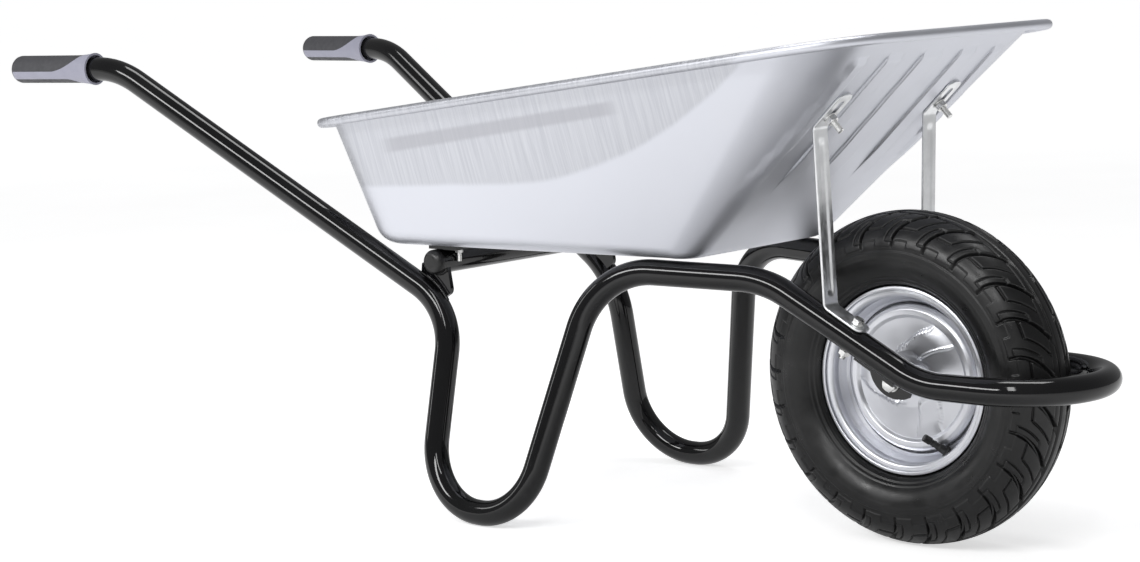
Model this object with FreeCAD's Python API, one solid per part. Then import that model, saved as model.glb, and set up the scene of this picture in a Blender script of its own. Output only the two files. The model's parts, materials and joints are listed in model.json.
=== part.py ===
"""Builder's wheelbarrow: bent-tube frame, galvanised tray, pneumatic wheel.

Row frame: +X forwards (towards the wheel), +Y to the left of the person pushing, +Z up.
The origin is on the ground, below the middle of the whole barrow. All lengths are in millimetres.
"""
import FreeCAD
import Part
import math
import os
from FreeCAD import Vector

# ---------------------------------------------------------------- driving dimensions
# frame tube: centre line of the left half, from the handle end to the corner of the front loop
TUBE_R = 16.0
TUBE_WALL = 2.0
HANDLE_END = Vector(-771, 284.5, 565)
HANDLE_BEND = Vector(-584, 264.5, 567)
LEG_TOP_REAR = Vector(-72, 167, 262)
FOOT_REAR = Vector(-73, 220, TUBE_R)
FOOT_FRONT = Vector(85, 224, TUBE_R)
LEG_TOP_FRONT = Vector(160, 154, 326)
NOSE_BEND = Vector(384, 113, 321)
LOOP_START = Vector(587, 100, 212)
LOOP_CORNER = Vector(760, 100, 212)
BEND_RADII = [128, 92, 85, 85, 100, 135, 118, 100]

# wheel
WHEEL_X = 519.0
WHEEL_Z = 200.0
TYRE_R = 200.0
TYRE_HALF = 51.5
TYRE_SIDE_R = 154.0
TYRE_SIDE_WALL = 6.0
TYRE_CROWN_WALL = 9.0
RIM_SEAT_R = 101.6
RIM_GAUGE = 1.6
BEAD_FIT = 0.2
BEAD_OUTER_HALF = 27.1
BEAD_INNER_HALF = 16.0
BEAD_TOP_R = 113.8
BEAD_HEEL = (116.0, 34.0)
BEAD_TOE = (110.0, 21.5)
SIDEWALL_OUTSIDE = (131.0, 45.8)
SIDEWALL_INSIDE = (129.0, 38.5)
# one face of a half rim as (radius, distance from the wheel's middle), from the curled edge to the hub
RIM_CURL = ((109.0, 31.8), (112.6, 31.0), (113.0, 28.4), (111.0, 27.4))
RIM_WELL = ((RIM_SEAT_R, 27.4), (RIM_SEAT_R, 14.5), (96.0, 5.0), (91.0, 0.0), (88.0, 0.0))
RIM_RING = ((85.0, 8.2), (82.0, 10.4), (77.0, 10.4), (73.0, 6.8))
RIM_DISH = ((52.0, 9.8), (34.0, 12.6), (18.0, 13.4))
AXLE_R = 5.0
AXLE_HOLE_R = 5.2
HUB_HALF = 40.0
HUB_R = 18.0
BEARING_R = 15.0
BEARING_WIDTH = 9.0
BEARING_BORE_R = 5.05
BEARING_RELIEF = 0.8
BEARING_OUTER_RACE_R = 12.6
BEARING_INNER_RACE_R = 8.2
SPACER_R = 7.5
SIDE_GAP = 0.3
INNER_TUBE_R = 146.0
INNER_TUBE_HALF = 34.0
INNER_TUBE_RISE = 43.5
INNER_TUBE_WALL = 2.5
# valve: radius and angle about the axle, and the distance to the right of the wheel's middle
VALVE_FOOT_R, VALVE_FOOT_ANGLE, VALVE_FOOT_Y = 97.5, math.radians(-60), 8.5
VALVE_TIP_R, VALVE_TIP_ANGLE, VALVE_TIP_Y = 70.5, math.radians(-66), 30.0
VALVE_HOLE_R = 5.8
VALVE_BASE_R = 5.5
VALVE_NECK_R = 4.6
VALVE_STEM_R = 3.8
VALVE_INSIDE = 17.0
VALVE_STEM_LENGTH = 25.0
VALVE_CAP_R = 4.6
VALVE_CAP_LENGTH = 10.0

# tray
SHEET = 1.2
FLOOR_Z = 342.3
FLOOR_FILLET = 30.0
FLOOR_REAR_CORNER_R = 58.0
FLOOR_FRONT_CORNER_R = 40.0
FLOOR_REAR_X = -192.0
FLOOR_FRONT_X = 297.3
FLOOR_REAR_HALF = 206.0
FLOOR_FRONT_HALF = 150.0
RIM_REAR_X = -228.0
RIM_FRONT_X = 577.0
RIM_REAR_HALF = 256.0
RIM_FRONT_HALF = 240.0
RIM_Z0 = 536.2
RIM_SLOPE = 0.135
RIM_REAR_CORNER_R = 70.0
RIM_FRONT_CORNER_R = 80.0
FLANGE = 20.0
BEAD_R = 6.0
NOSE_ANGLE = math.atan(0.972)
NOSE_RIB_TOP = Vector(547, 0, 585)
NOSE_RIBS = ((0, 38), (79.5, 30), (-79.5, 30), (149.5, 23), (-149.5, 23))
NOSE_RIB_LENGTH = 235.0
NOSE_RIB_HEIGHT = 3.0
NOSE_RIB_DEPTH = 12.0
NOSE_RIB_TOP_R = 4.0
NOSE_RIB_FOOT_R = 6.0

# struts between the tray's nose and the frame tube
STRUT_WIDTH = 28.0
STRUT_GAUGE = 3.0
STRUT_TOP_Y = 117.0
STRUT_FOOT_Y = 104.5
STRUT_X = 466.0
STRUT_FOOT_X = 470.0
STRUT_TAB_TOP_X = 506.0
STRUT_BOLT_X = 479.0
STRUT_SLOT_LENGTH = 16.0
STRUT_FOOT_REACH = 32.0
STRUT_FOOT_BEYOND_BOLT = 14.0
STRUT_BEND_R = 7.0
STRUT_LEG_INSET = 16.0
STRUT_GROOVE_WIDTH = 7.0
STRUT_GROOVE_DEPTH = 2.0
SEAT_GAP = 0.1

# rear cross tube
CROSS_X = -91.0
CROSS_Z = 321.3
CROSS_HALF = 173.0
CAP_LENGTH = 12.0
CAP_ROUNDING = 9.0
CAP_PLUG = 12.0
CROSS_BRACKET_Y = 162.0
CROSS_BRACKET_GAUGE = 6.0
# outline of the web plate as (x, z, corner radius)
CROSS_BRACKET_CORNERS = ((-121, 318, 3), (-78, 322, 4), (-71, 282, 9), (-94, 268, 4), (-124, 292, 4))
LUG_HALF_WIDTH = 20.0
LUG_OVERHANG = 14.0

# axle brackets
BRACKET_INNER_Y = 46.6
BRACKET_GAUGE = 5.0
BRACKET_REACH = 57.0
BRACKET_REAR = -33.0
BRACKET_FRONT = 27.0
BRACKET_CORNER_DROP = 3.5
BRACKET_BELLY_DROP = 17.5

# fasteners
TRAY_BOLT = Vector(-71, 151, FLOOR_Z)
TRAY_BOLT_R = 3.0
TRAY_BOLT_HOLE_R = 3.3
TRAY_BOLT_HEAD_R = 6.0
TRAY_BOLT_LENGTH = 22.5
COUNTERSINK_GAP = 0.1
STRUT_BOLT_R = 4.0
STRUT_BOLT_HOLE_R = 4.3
HEX_M6 = 10.0
HEX_M8 = 13.0
HEX_M10 = 17.0
M6_NUT_HEIGHT = 5.0
M8_NUT_HEIGHT = 6.5
M8_HEAD_HEIGHT = 5.3
M8_WASHER_R = 8.0
M8_WASHER_GAUGE = 1.6
M10_NUT_HEIGHT = 8.4
M10_HEAD_HEIGHT = 6.4
M10_WASHER_R = 10.0
M10_WASHER_GAUGE = 2.0
STRUT_TOP_BOLT_LENGTH = 27.0
STRUT_FOOT_BOLT_LENGTH = 49.0
AXLE_PAST_NUT = 12.0
COLLAR_R = 9.0

# grips
GRIP_R = 19.0
GRIP_LENGTH = 150.0
GRIP_END_WALL = 5.0
GRIP_END_ROUNDING = 13.0
GRIP_COLLAR_R = 22.0
GRIP_FLARE_START = 118.0
GRIP_MOUTH_DEPTH = 8.0
GRIP_MOUTH_R = 19.0
INLAY_GAUGE = 1.6
INLAY_START = 8.0
INLAY_TOP = -2.4
INLAY_LOW = -13.0

X_AXIS = Vector(1, 0, 0)
Y_AXIS = Vector(0, 1, 0)
Z_AXIS = Vector(0, 0, 1)
WHEEL_CENTRE = Vector(WHEEL_X, 0, WHEEL_Z)
SIDES = (("left", 1), ("right", -1))


# ---------------------------------------------------------------- general helpers
def export(shape, name):
    """Write one node."""
    os.makedirs("parts", exist_ok=True)
    shape.exportStep("parts/" + name + ".step")


def on_side(point, side):
    """Mirror a point of the left half to the side wanted (+1 left, -1 right)."""
    return Vector(point.x, side * point.y, point.z)


def corner_arc(before, corner, after, radius):
    """Start, middle and end of the arc that rounds one corner."""
    u = (before - corner).normalize()
    v = (after - corner).normalize()
    half = u.getAngle(v) / 2
    along = radius / math.tan(half)
    bisector = (u + v).normalize()
    middle = corner + bisector * (radius / math.sin(half) - radius)
    return corner + u * along, middle, corner + v * along


def line_to(edges, start, end):
    """Add a straight edge unless the two points coincide."""
    if start.distanceToPoint(end) > 1e-4:
        edges.append(Part.LineSegment(start, end).toShape())


def rounded_path(points, radii):
    """Open wire through the points, with an arc of the given radius at each inner point."""
    edges = []
    last = points[0]
    for i, radius in enumerate(radii):
        start, middle, end = corner_arc(points[i], points[i + 1], points[i + 2], radius)
        line_to(edges, last, start)
        edges.append(Part.Arc(start, middle, end).toShape())
        last = end
    line_to(edges, last, points[-1])
    return Part.Wire(edges)


def rounded_outline(points, radii):
    """Closed wire round the points, with an arc at every corner."""
    count = len(points)
    arcs = [corner_arc(points[i - 1], points[i], points[(i + 1) % count], radii[i]) for i in range(count)]
    edges = []
    for i, (start, middle, end) in enumerate(arcs):
        edges.append(Part.Arc(start, middle, end).toShape())
        line_to(edges, end, arcs[(i + 1) % count][0])
    return Part.Wire(edges)


def polygon_face(points):
    return Part.Face(Part.makePolygon(points + [points[0]]))


def prism(points, direction):
    """Solid of a plane polygon pushed along a vector."""
    return polygon_face(points).extrude(direction)


def swept_tube(path, start, direction, outer, inner):
    """Round tube along a path that leaves the start point in the given direction."""
    discs = [Part.Face(Part.Wire(Part.makeCircle(r, start, direction))) for r in (outer, inner)]
    return path.makePipe(discs[0]).cut(path.makePipe(discs[1]))


def rod(start, end, radius):
    """Round bar from one point to another."""
    axis = end - start
    return Part.makeCylinder(radius, axis.Length, start, axis)


def sleeve(start, end, outer, inner):
    """Round tube from one point to another."""
    return rod(start, end, outer).cut(rod(start, end, inner))


def hexagon(start, end, across_flats):
    """Hexagonal bar from one point to another."""
    axis = end - start
    side = axis.cross(X_AXIS)
    if side.Length < 0.1 * axis.Length:
        side = axis.cross(Y_AXIS)
    side.normalize()
    up = (axis.cross(side)).normalize()
    radius = across_flats / math.sqrt(3)
    points = []
    for k in range(6):
        angle = math.radians(60 * k + 30)
        points.append(start + side * (radius * math.cos(angle)) + up * (radius * math.sin(angle)))
    return prism(points, axis)


def hex_bolt(seat, direction, length, radius, across_flats, head):
    """Bolt whose head sits on the seat point, with the shank along direction."""
    d = Vector(direction).normalize()
    return hexagon(seat - d * head, seat, across_flats).fuse(rod(seat - d * 1, seat + d * length, radius))


def nut(seat, direction, height, across_flats, radius):
    """Hexagonal nut from the seat point along direction."""
    d = Vector(direction).normalize()
    return hexagon(seat, seat + d * height, across_flats).cut(rod(seat - d, seat + d * (height + 1), radius))


def turned(points):
    """Solid of revolution about the wheel's axle from (radius, y) points."""
    face = polygon_face([Vector(WHEEL_X + r, y, WHEEL_Z) for r, y in points])
    return face.revolve(WHEEL_CENTRE, Y_AXIS, 360)


def strip(points, gauge):
    """Closed (radius, y) outline of sheet metal: the points are one face, the gauge is added beside it."""
    other = []
    for i, (r, y) in enumerate(points):
        before = points[max(i - 1, 0)]
        after = points[min(i + 1, len(points) - 1)]
        normals = []
        for (r0, y0), (r1, y1) in ((before, (r, y)), ((r, y), after)):
            size = math.hypot(r1 - r0, y1 - y0)
            if size > 0:
                normals.append(((y0 - y1) / size, (r1 - r0) / size))
        nr = sum(n[0] for n in normals)
        ny = sum(n[1] for n in normals)
        scale = gauge * len(normals) / (nr * nr + ny * ny)
        other.append((r + nr * scale, y + ny * scale))
    return points + other[::-1]


# ---------------------------------------------------------------- frame
def frame_corners():
    """Centre-line corners of the one bent tube, left handle to right handle."""
    left = [HANDLE_END, HANDLE_BEND, LEG_TOP_REAR, FOOT_REAR, FOOT_FRONT, LEG_TOP_FRONT, NOSE_BEND,
            LOOP_START, LOOP_CORNER]
    return left + [on_side(p, -1) for p in reversed(left)]


def solid_frame_half(side):
    """The tube of one side without its bore, for cutting what is welded to it."""
    corners = [on_side(p, side) for p in frame_corners()[:9]]
    path = rounded_path(corners, BEND_RADII[:7])
    disc = Part.Face(Part.Wire(Part.makeCircle(TUBE_R, corners[0], corners[1] - corners[0])))
    return path.makePipe(disc)


def strut_foot_axis(side):
    """Bolt centre on top of the falling tube, the tube's direction and its upward normal."""
    rise = NOSE_BEND - LOOP_START
    along = Vector(-rise.x, 0, -rise.z).normalize()
    up = Vector(-along.z, 0, along.x)
    share = (STRUT_X + STRUT_FOOT_REACH - NOSE_BEND.x) / (LOOP_START.x - NOSE_BEND.x)
    centre = NOSE_BEND + (LOOP_START - NOSE_BEND) * share
    return Vector(centre.x, side * STRUT_FOOT_Y, centre.z) + up * (TUBE_R + SEAT_GAP), along, up


def frame_tube():
    corners = frame_corners()
    path = rounded_path(corners, BEND_RADII + BEND_RADII[::-1])
    tube = swept_tube(path, corners[0], corners[1] - corners[0], TUBE_R, TUBE_R - TUBE_WALL)
    for _, side in SIDES:
        seat, _, up = strut_foot_axis(side)
        tube = tube.cut(rod(seat + up * 5, seat - up * 45, STRUT_BOLT_HOLE_R))
    return tube


def rear_cross_tube():
    end = Vector(CROSS_X, CROSS_HALF, CROSS_Z)
    return sleeve(on_side(end, -1), end, TUBE_R, TUBE_R - TUBE_WALL)


def cross_tube_caps():
    """Plugs with a rounded head that close the cross tube's ends."""
    caps = []
    for _, side in SIDES:
        end = Vector(CROSS_X, side * CROSS_HALF, CROSS_Z)
        tip = end + Y_AXIS * (side * CAP_LENGTH)
        plug = rod(end - Y_AXIS * (side * CAP_PLUG), end, TUBE_R - TUBE_WALL)
        head = rod(end, tip, TUBE_R)
        rim = [e for e in head.Edges if e.Closed and e.CenterOfMass.distanceToPoint(tip) < 0.1]
        caps.append(plug.fuse(head.makeFillet(CAP_ROUNDING, rim)).removeSplitter())
    return Part.makeCompound(caps)


def cross_bracket(side):
    """Web plate that carries the cross tube on top of the frame's rear bend."""
    y = CROSS_BRACKET_Y * side
    corners = [Vector(x, y, z) for x, z, _ in CROSS_BRACKET_CORNERS]
    outline = rounded_outline(corners, [radius for _, _, radius in CROSS_BRACKET_CORNERS])
    plate = Part.Face(outline).extrude(Y_AXIS * (side * CROSS_BRACKET_GAUGE))
    end = Vector(CROSS_X, CROSS_HALF + CAP_LENGTH, CROSS_Z)
    return plate.cut(rod(on_side(end, -1), end, TUBE_R)).cut(solid_frame_half(side))


def tray_bolt_cone(side, big_r, small_r):
    """Cone of a countersunk head, or of its seat, with the wide end level with the tray's floor."""
    floor = on_side(TRAY_BOLT, side) + Z_AXIS * SHEET
    return Part.makeCone(big_r, small_r, big_r - small_r, floor, -Z_AXIS)


def tray_bolt_hole(side):
    """Countersunk hole through the tray's floor and the lug."""
    floor = on_side(TRAY_BOLT, side) + Z_AXIS * SHEET
    seat = tray_bolt_cone(side, TRAY_BOLT_HEAD_R + COUNTERSINK_GAP, TRAY_BOLT_HOLE_R)
    return seat.fuse(rod(floor, floor - Z_AXIS * TRAY_BOLT_LENGTH, TRAY_BOLT_HOLE_R))


def tray_lug(side):
    """Flat plate on the cross tube: the tray rests on it and is bolted through it."""
    gauge = FLOOR_Z - CROSS_Z - TUBE_R
    low = Vector(CROSS_X - LUG_OVERHANG, side * TRAY_BOLT.y - LUG_HALF_WIDTH, CROSS_Z + TUBE_R)
    plate = Part.makeBox(TRAY_BOLT.x + LUG_OVERHANG - low.x, 2 * LUG_HALF_WIDTH, gauge, low)
    return plate.cut(tray_bolt_hole(side))


def axle_bracket(side):
    """Cranked plate under the tube: a flange below the tube and a half-moon cheek for the axle."""
    rise = NOSE_BEND - LOOP_START
    along = Vector(-rise.x, 0, -rise.z).normalize()
    down = Vector(along.z, 0, -along.x)
    share = (WHEEL_X - NOSE_BEND.x) / (LOOP_START.x - NOSE_BEND.x)
    centre_line = NOSE_BEND + (LOOP_START - NOSE_BEND) * share
    top = (centre_line - WHEEL_CENTRE).dot(down) + TUBE_R + SEAT_GAP

    def at(u, n, y):
        return WHEEL_CENTRE + along * u + down * n + Y_AXIS * y

    inner = side * BRACKET_INNER_Y
    rear, front, corner = BRACKET_REAR, BRACKET_FRONT, BRACKET_CORNER_DROP
    belly = Part.Arc(at(front, corner, inner), at((rear + front) / 2, BRACKET_BELLY_DROP, inner),
                     at(rear, corner, inner))
    edges = [Part.LineSegment(at(rear, corner, inner), at(rear, top, inner)).toShape(),
             Part.LineSegment(at(rear, top, inner), at(front, top, inner)).toShape(),
             Part.LineSegment(at(front, top, inner), at(front, corner, inner)).toShape(),
             belly.toShape()]
    cheek = Part.Face(Part.Wire(edges)).extrude(Y_AXIS * (side * BRACKET_GAUGE))
    flange = prism([at(rear, top, inner), at(front, top, inner),
                    at(front, top + BRACKET_GAUGE, inner), at(rear, top + BRACKET_GAUGE, inner)],
                   Y_AXIS * (side * BRACKET_REACH))
    beyond = WHEEL_CENTRE + Y_AXIS * (side * (BRACKET_INNER_Y + 2 * BRACKET_GAUGE))
    return cheek.fuse(flange).removeSplitter().cut(rod(WHEEL_CENTRE, beyond, AXLE_HOLE_R))


# ---------------------------------------------------------------- tray
def rim_z(x):
    return RIM_Z0 + RIM_SLOPE * x


def four_corners(rear, front, rear_half, front_half, height):
    """Corners of a plan outline, each at the height that height(x) gives."""
    plan = [(rear, -rear_half), (front, -front_half), (front, front_half), (rear, rear_half)]
    return [Vector(x, y, height(x)) for x, y in plan]


def floor_outline(inset, nose_inset):
    """Sharp floor outline, before its edge is rounded into the walls."""
    corners = four_corners(FLOOR_REAR_X + inset, FLOOR_FRONT_X - nose_inset, FLOOR_REAR_HALF - inset,
                           FLOOR_FRONT_HALF - inset, lambda x: FLOOR_Z)
    rear, front = FLOOR_REAR_CORNER_R - inset, FLOOR_FRONT_CORNER_R - inset
    return rounded_outline(corners, [rear, front, front, rear])


def rim_outline(offset, nose_offset, lift):
    """Outline in the tilted rim plane: with no offset it is the top of the walls."""
    corners = four_corners(RIM_REAR_X - offset, RIM_FRONT_X + nose_offset, RIM_REAR_HALF + offset,
                           RIM_FRONT_HALF + offset, lambda x: rim_z(x) + lift)
    rear, front = RIM_REAR_CORNER_R + offset, RIM_FRONT_CORNER_R + offset
    return rounded_outline(corners, [rear, front, front, rear])


def flared_block(inset):
    """Block between the sharp floor outline and the rim, with its walls moved in by the inset."""
    nose_inset = inset / math.sin(NOSE_ANGLE)
    return Part.makeLoft([floor_outline(inset, nose_inset), rim_outline(-inset, -nose_inset, 0)], True, True)


def tray_block(inset, fillet):
    """Solid block in the shape of the tray's outside, or of its inside when inset by the sheet."""
    below = Part.makeBox(2000, 2000, 50, Vector(-1000, -1000, FLOOR_Z - 50 + inset))
    block = flared_block(inset).cut(below)
    bottom = [e for e in block.Edges if e.BoundBox.ZMax < FLOOR_Z + inset + 0.01]
    return block.makeFillet(fillet, bottom)


def nose_ribs(trim, inset):
    """The raised ribs of the nose as bars cut off at the inset block, each side smaller by the trim."""
    down = Vector(-math.cos(NOSE_ANGLE), 0, -math.sin(NOSE_ANGLE))
    out = Vector(math.sin(NOSE_ANGLE), 0, -math.cos(NOSE_ANGLE))
    bars = []
    for centre_y, width in NOSE_RIBS:
        half = width / 2 - trim
        top = NOSE_RIB_TOP + Y_AXIS * centre_y - out * NOSE_RIB_DEPTH + down * trim
        foot = top + down * (NOSE_RIB_LENGTH - 2 * trim)
        corners = [top - Y_AXIS * half, top + Y_AXIS * half, foot + Y_AXIS * half, foot - Y_AXIS * half]
        radii = [NOSE_RIB_TOP_R, NOSE_RIB_TOP_R, NOSE_RIB_FOOT_R, NOSE_RIB_FOOT_R]
        bar = Part.Face(rounded_outline(corners, radii)).extrude(out * (NOSE_RIB_DEPTH + 2 * NOSE_RIB_HEIGHT))
        bars.append(bar)
    return Part.makeCompound(bars).common(flared_block(inset))


def rolled_bead():
    """Hollow roll that runs round the rim's edge."""
    around = FLANGE - BEAD_R
    outline = rim_outline(around, around, -BEAD_R)
    path = Part.Wire(outline.Edges[1:] + outline.Edges[:1])
    first = path.Edges[0]
    start = first.valueAt(first.FirstParameter)
    return swept_tube(path, start, first.tangentAt(first.FirstParameter), BEAD_R, BEAD_R - SHEET)


def tray():
    outside = tray_block(0, FLOOR_FILLET).fuse(nose_ribs(0, -NOSE_RIB_HEIGHT))
    inside = tray_block(SHEET, FLOOR_FILLET - SHEET).fuse(nose_ribs(SHEET, SHEET - NOSE_RIB_HEIGHT))
    shell = outside.cut(inside)
    into_bead = FLANGE - BEAD_R - 2
    flange, opening = [Part.Face(rim_outline(reach, reach, -SHEET)).extrude(Z_AXIS * SHEET)
                       for reach in (into_bead, -SHEET / 2)]
    body = shell.fuse([flange.cut(opening), rolled_bead()])
    for _, side in SIDES:
        body = body.cut(tray_bolt_hole(side))
        seat, out = strut_top_axis(side)
        body = body.cut(rod(seat - out * 8, seat + out * 8, STRUT_BOLT_HOLE_R))
    return body


# ---------------------------------------------------------------- struts
def nose_point(x, clearance):
    """Point on the nose's outer face, moved out by the clearance."""
    z = NOSE_RIB_TOP.z + (x - NOSE_RIB_TOP.x) * math.tan(NOSE_ANGLE)
    return Vector(x + clearance * math.sin(NOSE_ANGLE), 0, z - clearance * math.cos(NOSE_ANGLE))


def strut_top_axis(side):
    """Bolt centre on the nose's outer face, and the face's outward normal."""
    point = nose_point(STRUT_BOLT_X, 0)
    out = Vector(math.sin(NOSE_ANGLE), 0, -math.cos(NOSE_ANGLE))
    return Vector(point.x, side * STRUT_TOP_Y, point.z), out


def bent_tab(points, centre_y, radius):
    """Flat bar bent once in the XZ plane: three points on its centre line."""
    half = STRUT_GAUGE / 2
    sides = []
    for shift in (half, -half):
        a, b, c = [Vector(p.x, 0, p.z) for p in points]
        first = (b - a).normalize()
        second = (c - b).normalize()
        n1 = Vector(-first.z, 0, first.x)
        n2 = Vector(-second.z, 0, second.x)
        mitre = (n1 + n2) * (1 / (1 + n1.dot(n2)))
        sides.append([a + n1 * shift, b + mitre * shift, c + n2 * shift])
    corners = sides[0] + sides[1][::-1]
    shifted = [p + Y_AXIS * (centre_y - STRUT_WIDTH / 2) for p in corners]
    tab = prism(shifted, Y_AXIS * STRUT_WIDTH)
    turn = (Vector(points[1]) - Vector(points[0])).cross(Vector(points[2]) - Vector(points[1])).y
    bend_edges = [e for e in tab.Edges if e.Length > STRUT_WIDTH - 0.1
                  and any(e.CenterOfMass.distanceToPoint(p + Y_AXIS * (STRUT_WIDTH / 2)) < 0.5
                          for p in (shifted[1], shifted[4]))]
    inner_first = turn > 0
    for edge in bend_edges:
        near_first = edge.CenterOfMass.distanceToPoint(shifted[1] + Y_AXIS * (STRUT_WIDTH / 2)) < 0.5
        bend = radius if near_first != inner_first else radius + STRUT_GAUGE
        target = [e for e in tab.Edges if e.CenterOfMass.distanceToPoint(edge.CenterOfMass) < 0.01]
        tab = tab.makeFillet(bend, target)
    return tab


def bar_section(centre, direction, width, thick, shift):
    """Outline of a flat bar that runs along direction, moved forwards by the shift."""
    ahead = Vector(direction.z, 0, -direction.x)
    c = centre + ahead * shift
    half_width, half_thick = Y_AXIS * (width / 2), ahead * (thick / 2)
    corners = [c + half_thick - half_width, c + half_thick + half_width,
               c - half_thick + half_width, c - half_thick - half_width]
    return Part.makePolygon(corners + [corners[0]])


def strut(side):
    """Pressed flat bar: slotted tab on the nose, leg with a pressed groove, tab on the frame tube."""
    clear = STRUT_GAUGE / 2 + SEAT_GAP
    tab_top = nose_point(STRUT_TAB_TOP_X, clear)
    bend_top = nose_point(STRUT_X, clear)
    seat, along, up = strut_foot_axis(side)
    foot = Vector(seat.x, 0, seat.z) + up * clear
    tab_end = foot + along * STRUT_FOOT_BEYOND_BOLT
    bend_low = foot - along * ((foot.x - STRUT_FOOT_X) / along.x)
    fall = (bend_low - bend_top).normalize()
    leg_top = bend_top + fall * STRUT_LEG_INSET
    leg_low = bend_low - fall * STRUT_LEG_INSET
    upper = bent_tab([tab_top, bend_top, leg_top], side * STRUT_TOP_Y, STRUT_BEND_R)
    lower = bent_tab([leg_low, bend_low, tab_end], side * STRUT_FOOT_Y, STRUT_BEND_R)
    ends = (leg_top + Y_AXIS * (side * STRUT_TOP_Y), leg_low + Y_AXIS * (side * STRUT_FOOT_Y))
    plain, rib, groove = [
        Part.makeLoft([bar_section(end, -fall, width, STRUT_GAUGE, shift) for end in ends], True, True)
        for width, shift in ((STRUT_WIDTH, 0), (STRUT_GROOVE_WIDTH + 2 * STRUT_GAUGE, -STRUT_GROOVE_DEPTH),
                             (STRUT_GROOVE_WIDTH, STRUT_GAUGE - STRUT_GROOVE_DEPTH))]
    body = upper.fuse([plain.fuse(rib).cut(groove), lower]).removeSplitter()
    top_seat, out = strut_top_axis(side)
    climb = Vector(math.cos(NOSE_ANGLE), 0, math.sin(NOSE_ANGLE))
    for centre in (top_seat, top_seat + climb * STRUT_SLOT_LENGTH):
        body = body.cut(rod(centre - out, centre + out * (2 * STRUT_GAUGE), STRUT_BOLT_HOLE_R))
    slot_half = Y_AXIS * STRUT_BOLT_HOLE_R
    slot = [top_seat - slot_half, top_seat + slot_half, top_seat + slot_half + climb * STRUT_SLOT_LENGTH,
            top_seat - slot_half + climb * STRUT_SLOT_LENGTH]
    body = body.cut(prism(slot, out * (2 * STRUT_GAUGE)))
    return body.cut(rod(seat - up, seat + up * (2 * STRUT_GAUGE), STRUT_BOLT_HOLE_R))


# ---------------------------------------------------------------- fasteners
def tray_floor_bolts():
    """Countersunk bolts, flush with the tray's floor, that hold it on the lugs."""
    bolts = []
    for _, side in SIDES:
        floor = on_side(TRAY_BOLT, side) + Z_AXIS * SHEET
        head = tray_bolt_cone(side, TRAY_BOLT_HEAD_R, TRAY_BOLT_R)
        bolts.append(head.fuse(rod(floor, floor - Z_AXIS * TRAY_BOLT_LENGTH, TRAY_BOLT_R)).removeSplitter())
    return Part.makeCompound(bolts)


def tray_floor_nuts():
    base = Vector(TRAY_BOLT.x, TRAY_BOLT.y, CROSS_Z + TUBE_R)
    return Part.makeCompound([nut(on_side(base, side), -Z_AXIS, M6_NUT_HEIGHT, HEX_M6, TRAY_BOLT_R)
                              for _, side in SIDES])


def strut_top_bolts():
    """Bolts from inside the tray, out through the nose and the strut's slotted tab."""
    bolts = []
    for _, side in SIDES:
        seat, out = strut_top_axis(side)
        bolts.append(hex_bolt(seat - out * SHEET, out, STRUT_TOP_BOLT_LENGTH, STRUT_BOLT_R, HEX_M8,
                              M8_HEAD_HEIGHT))
    return Part.makeCompound(bolts)


def strut_top_nuts():
    nuts = []
    for _, side in SIDES:
        seat, out = strut_top_axis(side)
        base = seat + out * (STRUT_GAUGE + 2 * SEAT_GAP)
        over = base + out * M8_WASHER_GAUGE
        washer = sleeve(base, over, M8_WASHER_R, STRUT_BOLT_R)
        nuts.append(washer.fuse(nut(over, out, M8_NUT_HEIGHT, HEX_M8, STRUT_BOLT_R)))
    return Part.makeCompound(nuts)


def strut_foot_bolts():
    """Bolts down through the strut's foot and the frame tube."""
    bolts = []
    for _, side in SIDES:
        seat, _, up = strut_foot_axis(side)
        top = seat + up * (STRUT_GAUGE + 3 * SEAT_GAP)
        over = top + up * M8_WASHER_GAUGE
        washer = sleeve(top, over, M8_WASHER_R, STRUT_BOLT_R)
        bolt = hex_bolt(over, -up, STRUT_FOOT_BOLT_LENGTH, STRUT_BOLT_R, HEX_M8, M8_HEAD_HEIGHT)
        bolts.append(bolt.fuse(washer))
    return Part.makeCompound(bolts)


def strut_foot_nuts():
    nuts = []
    for _, side in SIDES:
        seat, _, up = strut_foot_axis(side)
        base = seat - up * (2 * TUBE_R + 3 * SEAT_GAP)
        nuts.append(nut(base, -up, M8_NUT_HEIGHT, HEX_M8, STRUT_BOLT_R))
    return Part.makeCompound(nuts)


def on_axle(y):
    return WHEEL_CENTRE + Y_AXIS * y


def axle_bolt():
    outer = BRACKET_INNER_Y + BRACKET_GAUGE + M10_WASHER_GAUGE
    return hex_bolt(on_axle(-outer), Y_AXIS, 2 * outer + AXLE_PAST_NUT, AXLE_R, HEX_M10, M10_HEAD_HEIGHT)


def axle_nut():
    base = on_axle(BRACKET_INNER_Y + BRACKET_GAUGE + M10_WASHER_GAUGE)
    return nut(base, Y_AXIS, M10_NUT_HEIGHT, HEX_M10, AXLE_R)


def axle_washers():
    inner = BRACKET_INNER_Y + BRACKET_GAUGE
    outer = inner + M10_WASHER_GAUGE
    return Part.makeCompound([sleeve(on_axle(s * inner), on_axle(s * outer), M10_WASHER_R, AXLE_R)
                              for _, s in SIDES])


def axle_collars():
    """Spacers between the hub's bearings and the axle brackets."""
    near = HUB_HALF + SIDE_GAP
    return Part.makeCompound([sleeve(on_axle(s * near), on_axle(s * BRACKET_INNER_Y), COLLAR_R, AXLE_R)
                              for _, s in SIDES])


def bearing_spacer():
    half = HUB_HALF - BEARING_WIDTH - SIDE_GAP
    return sleeve(on_axle(-half), on_axle(half), SPACER_R, AXLE_R)


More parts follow.
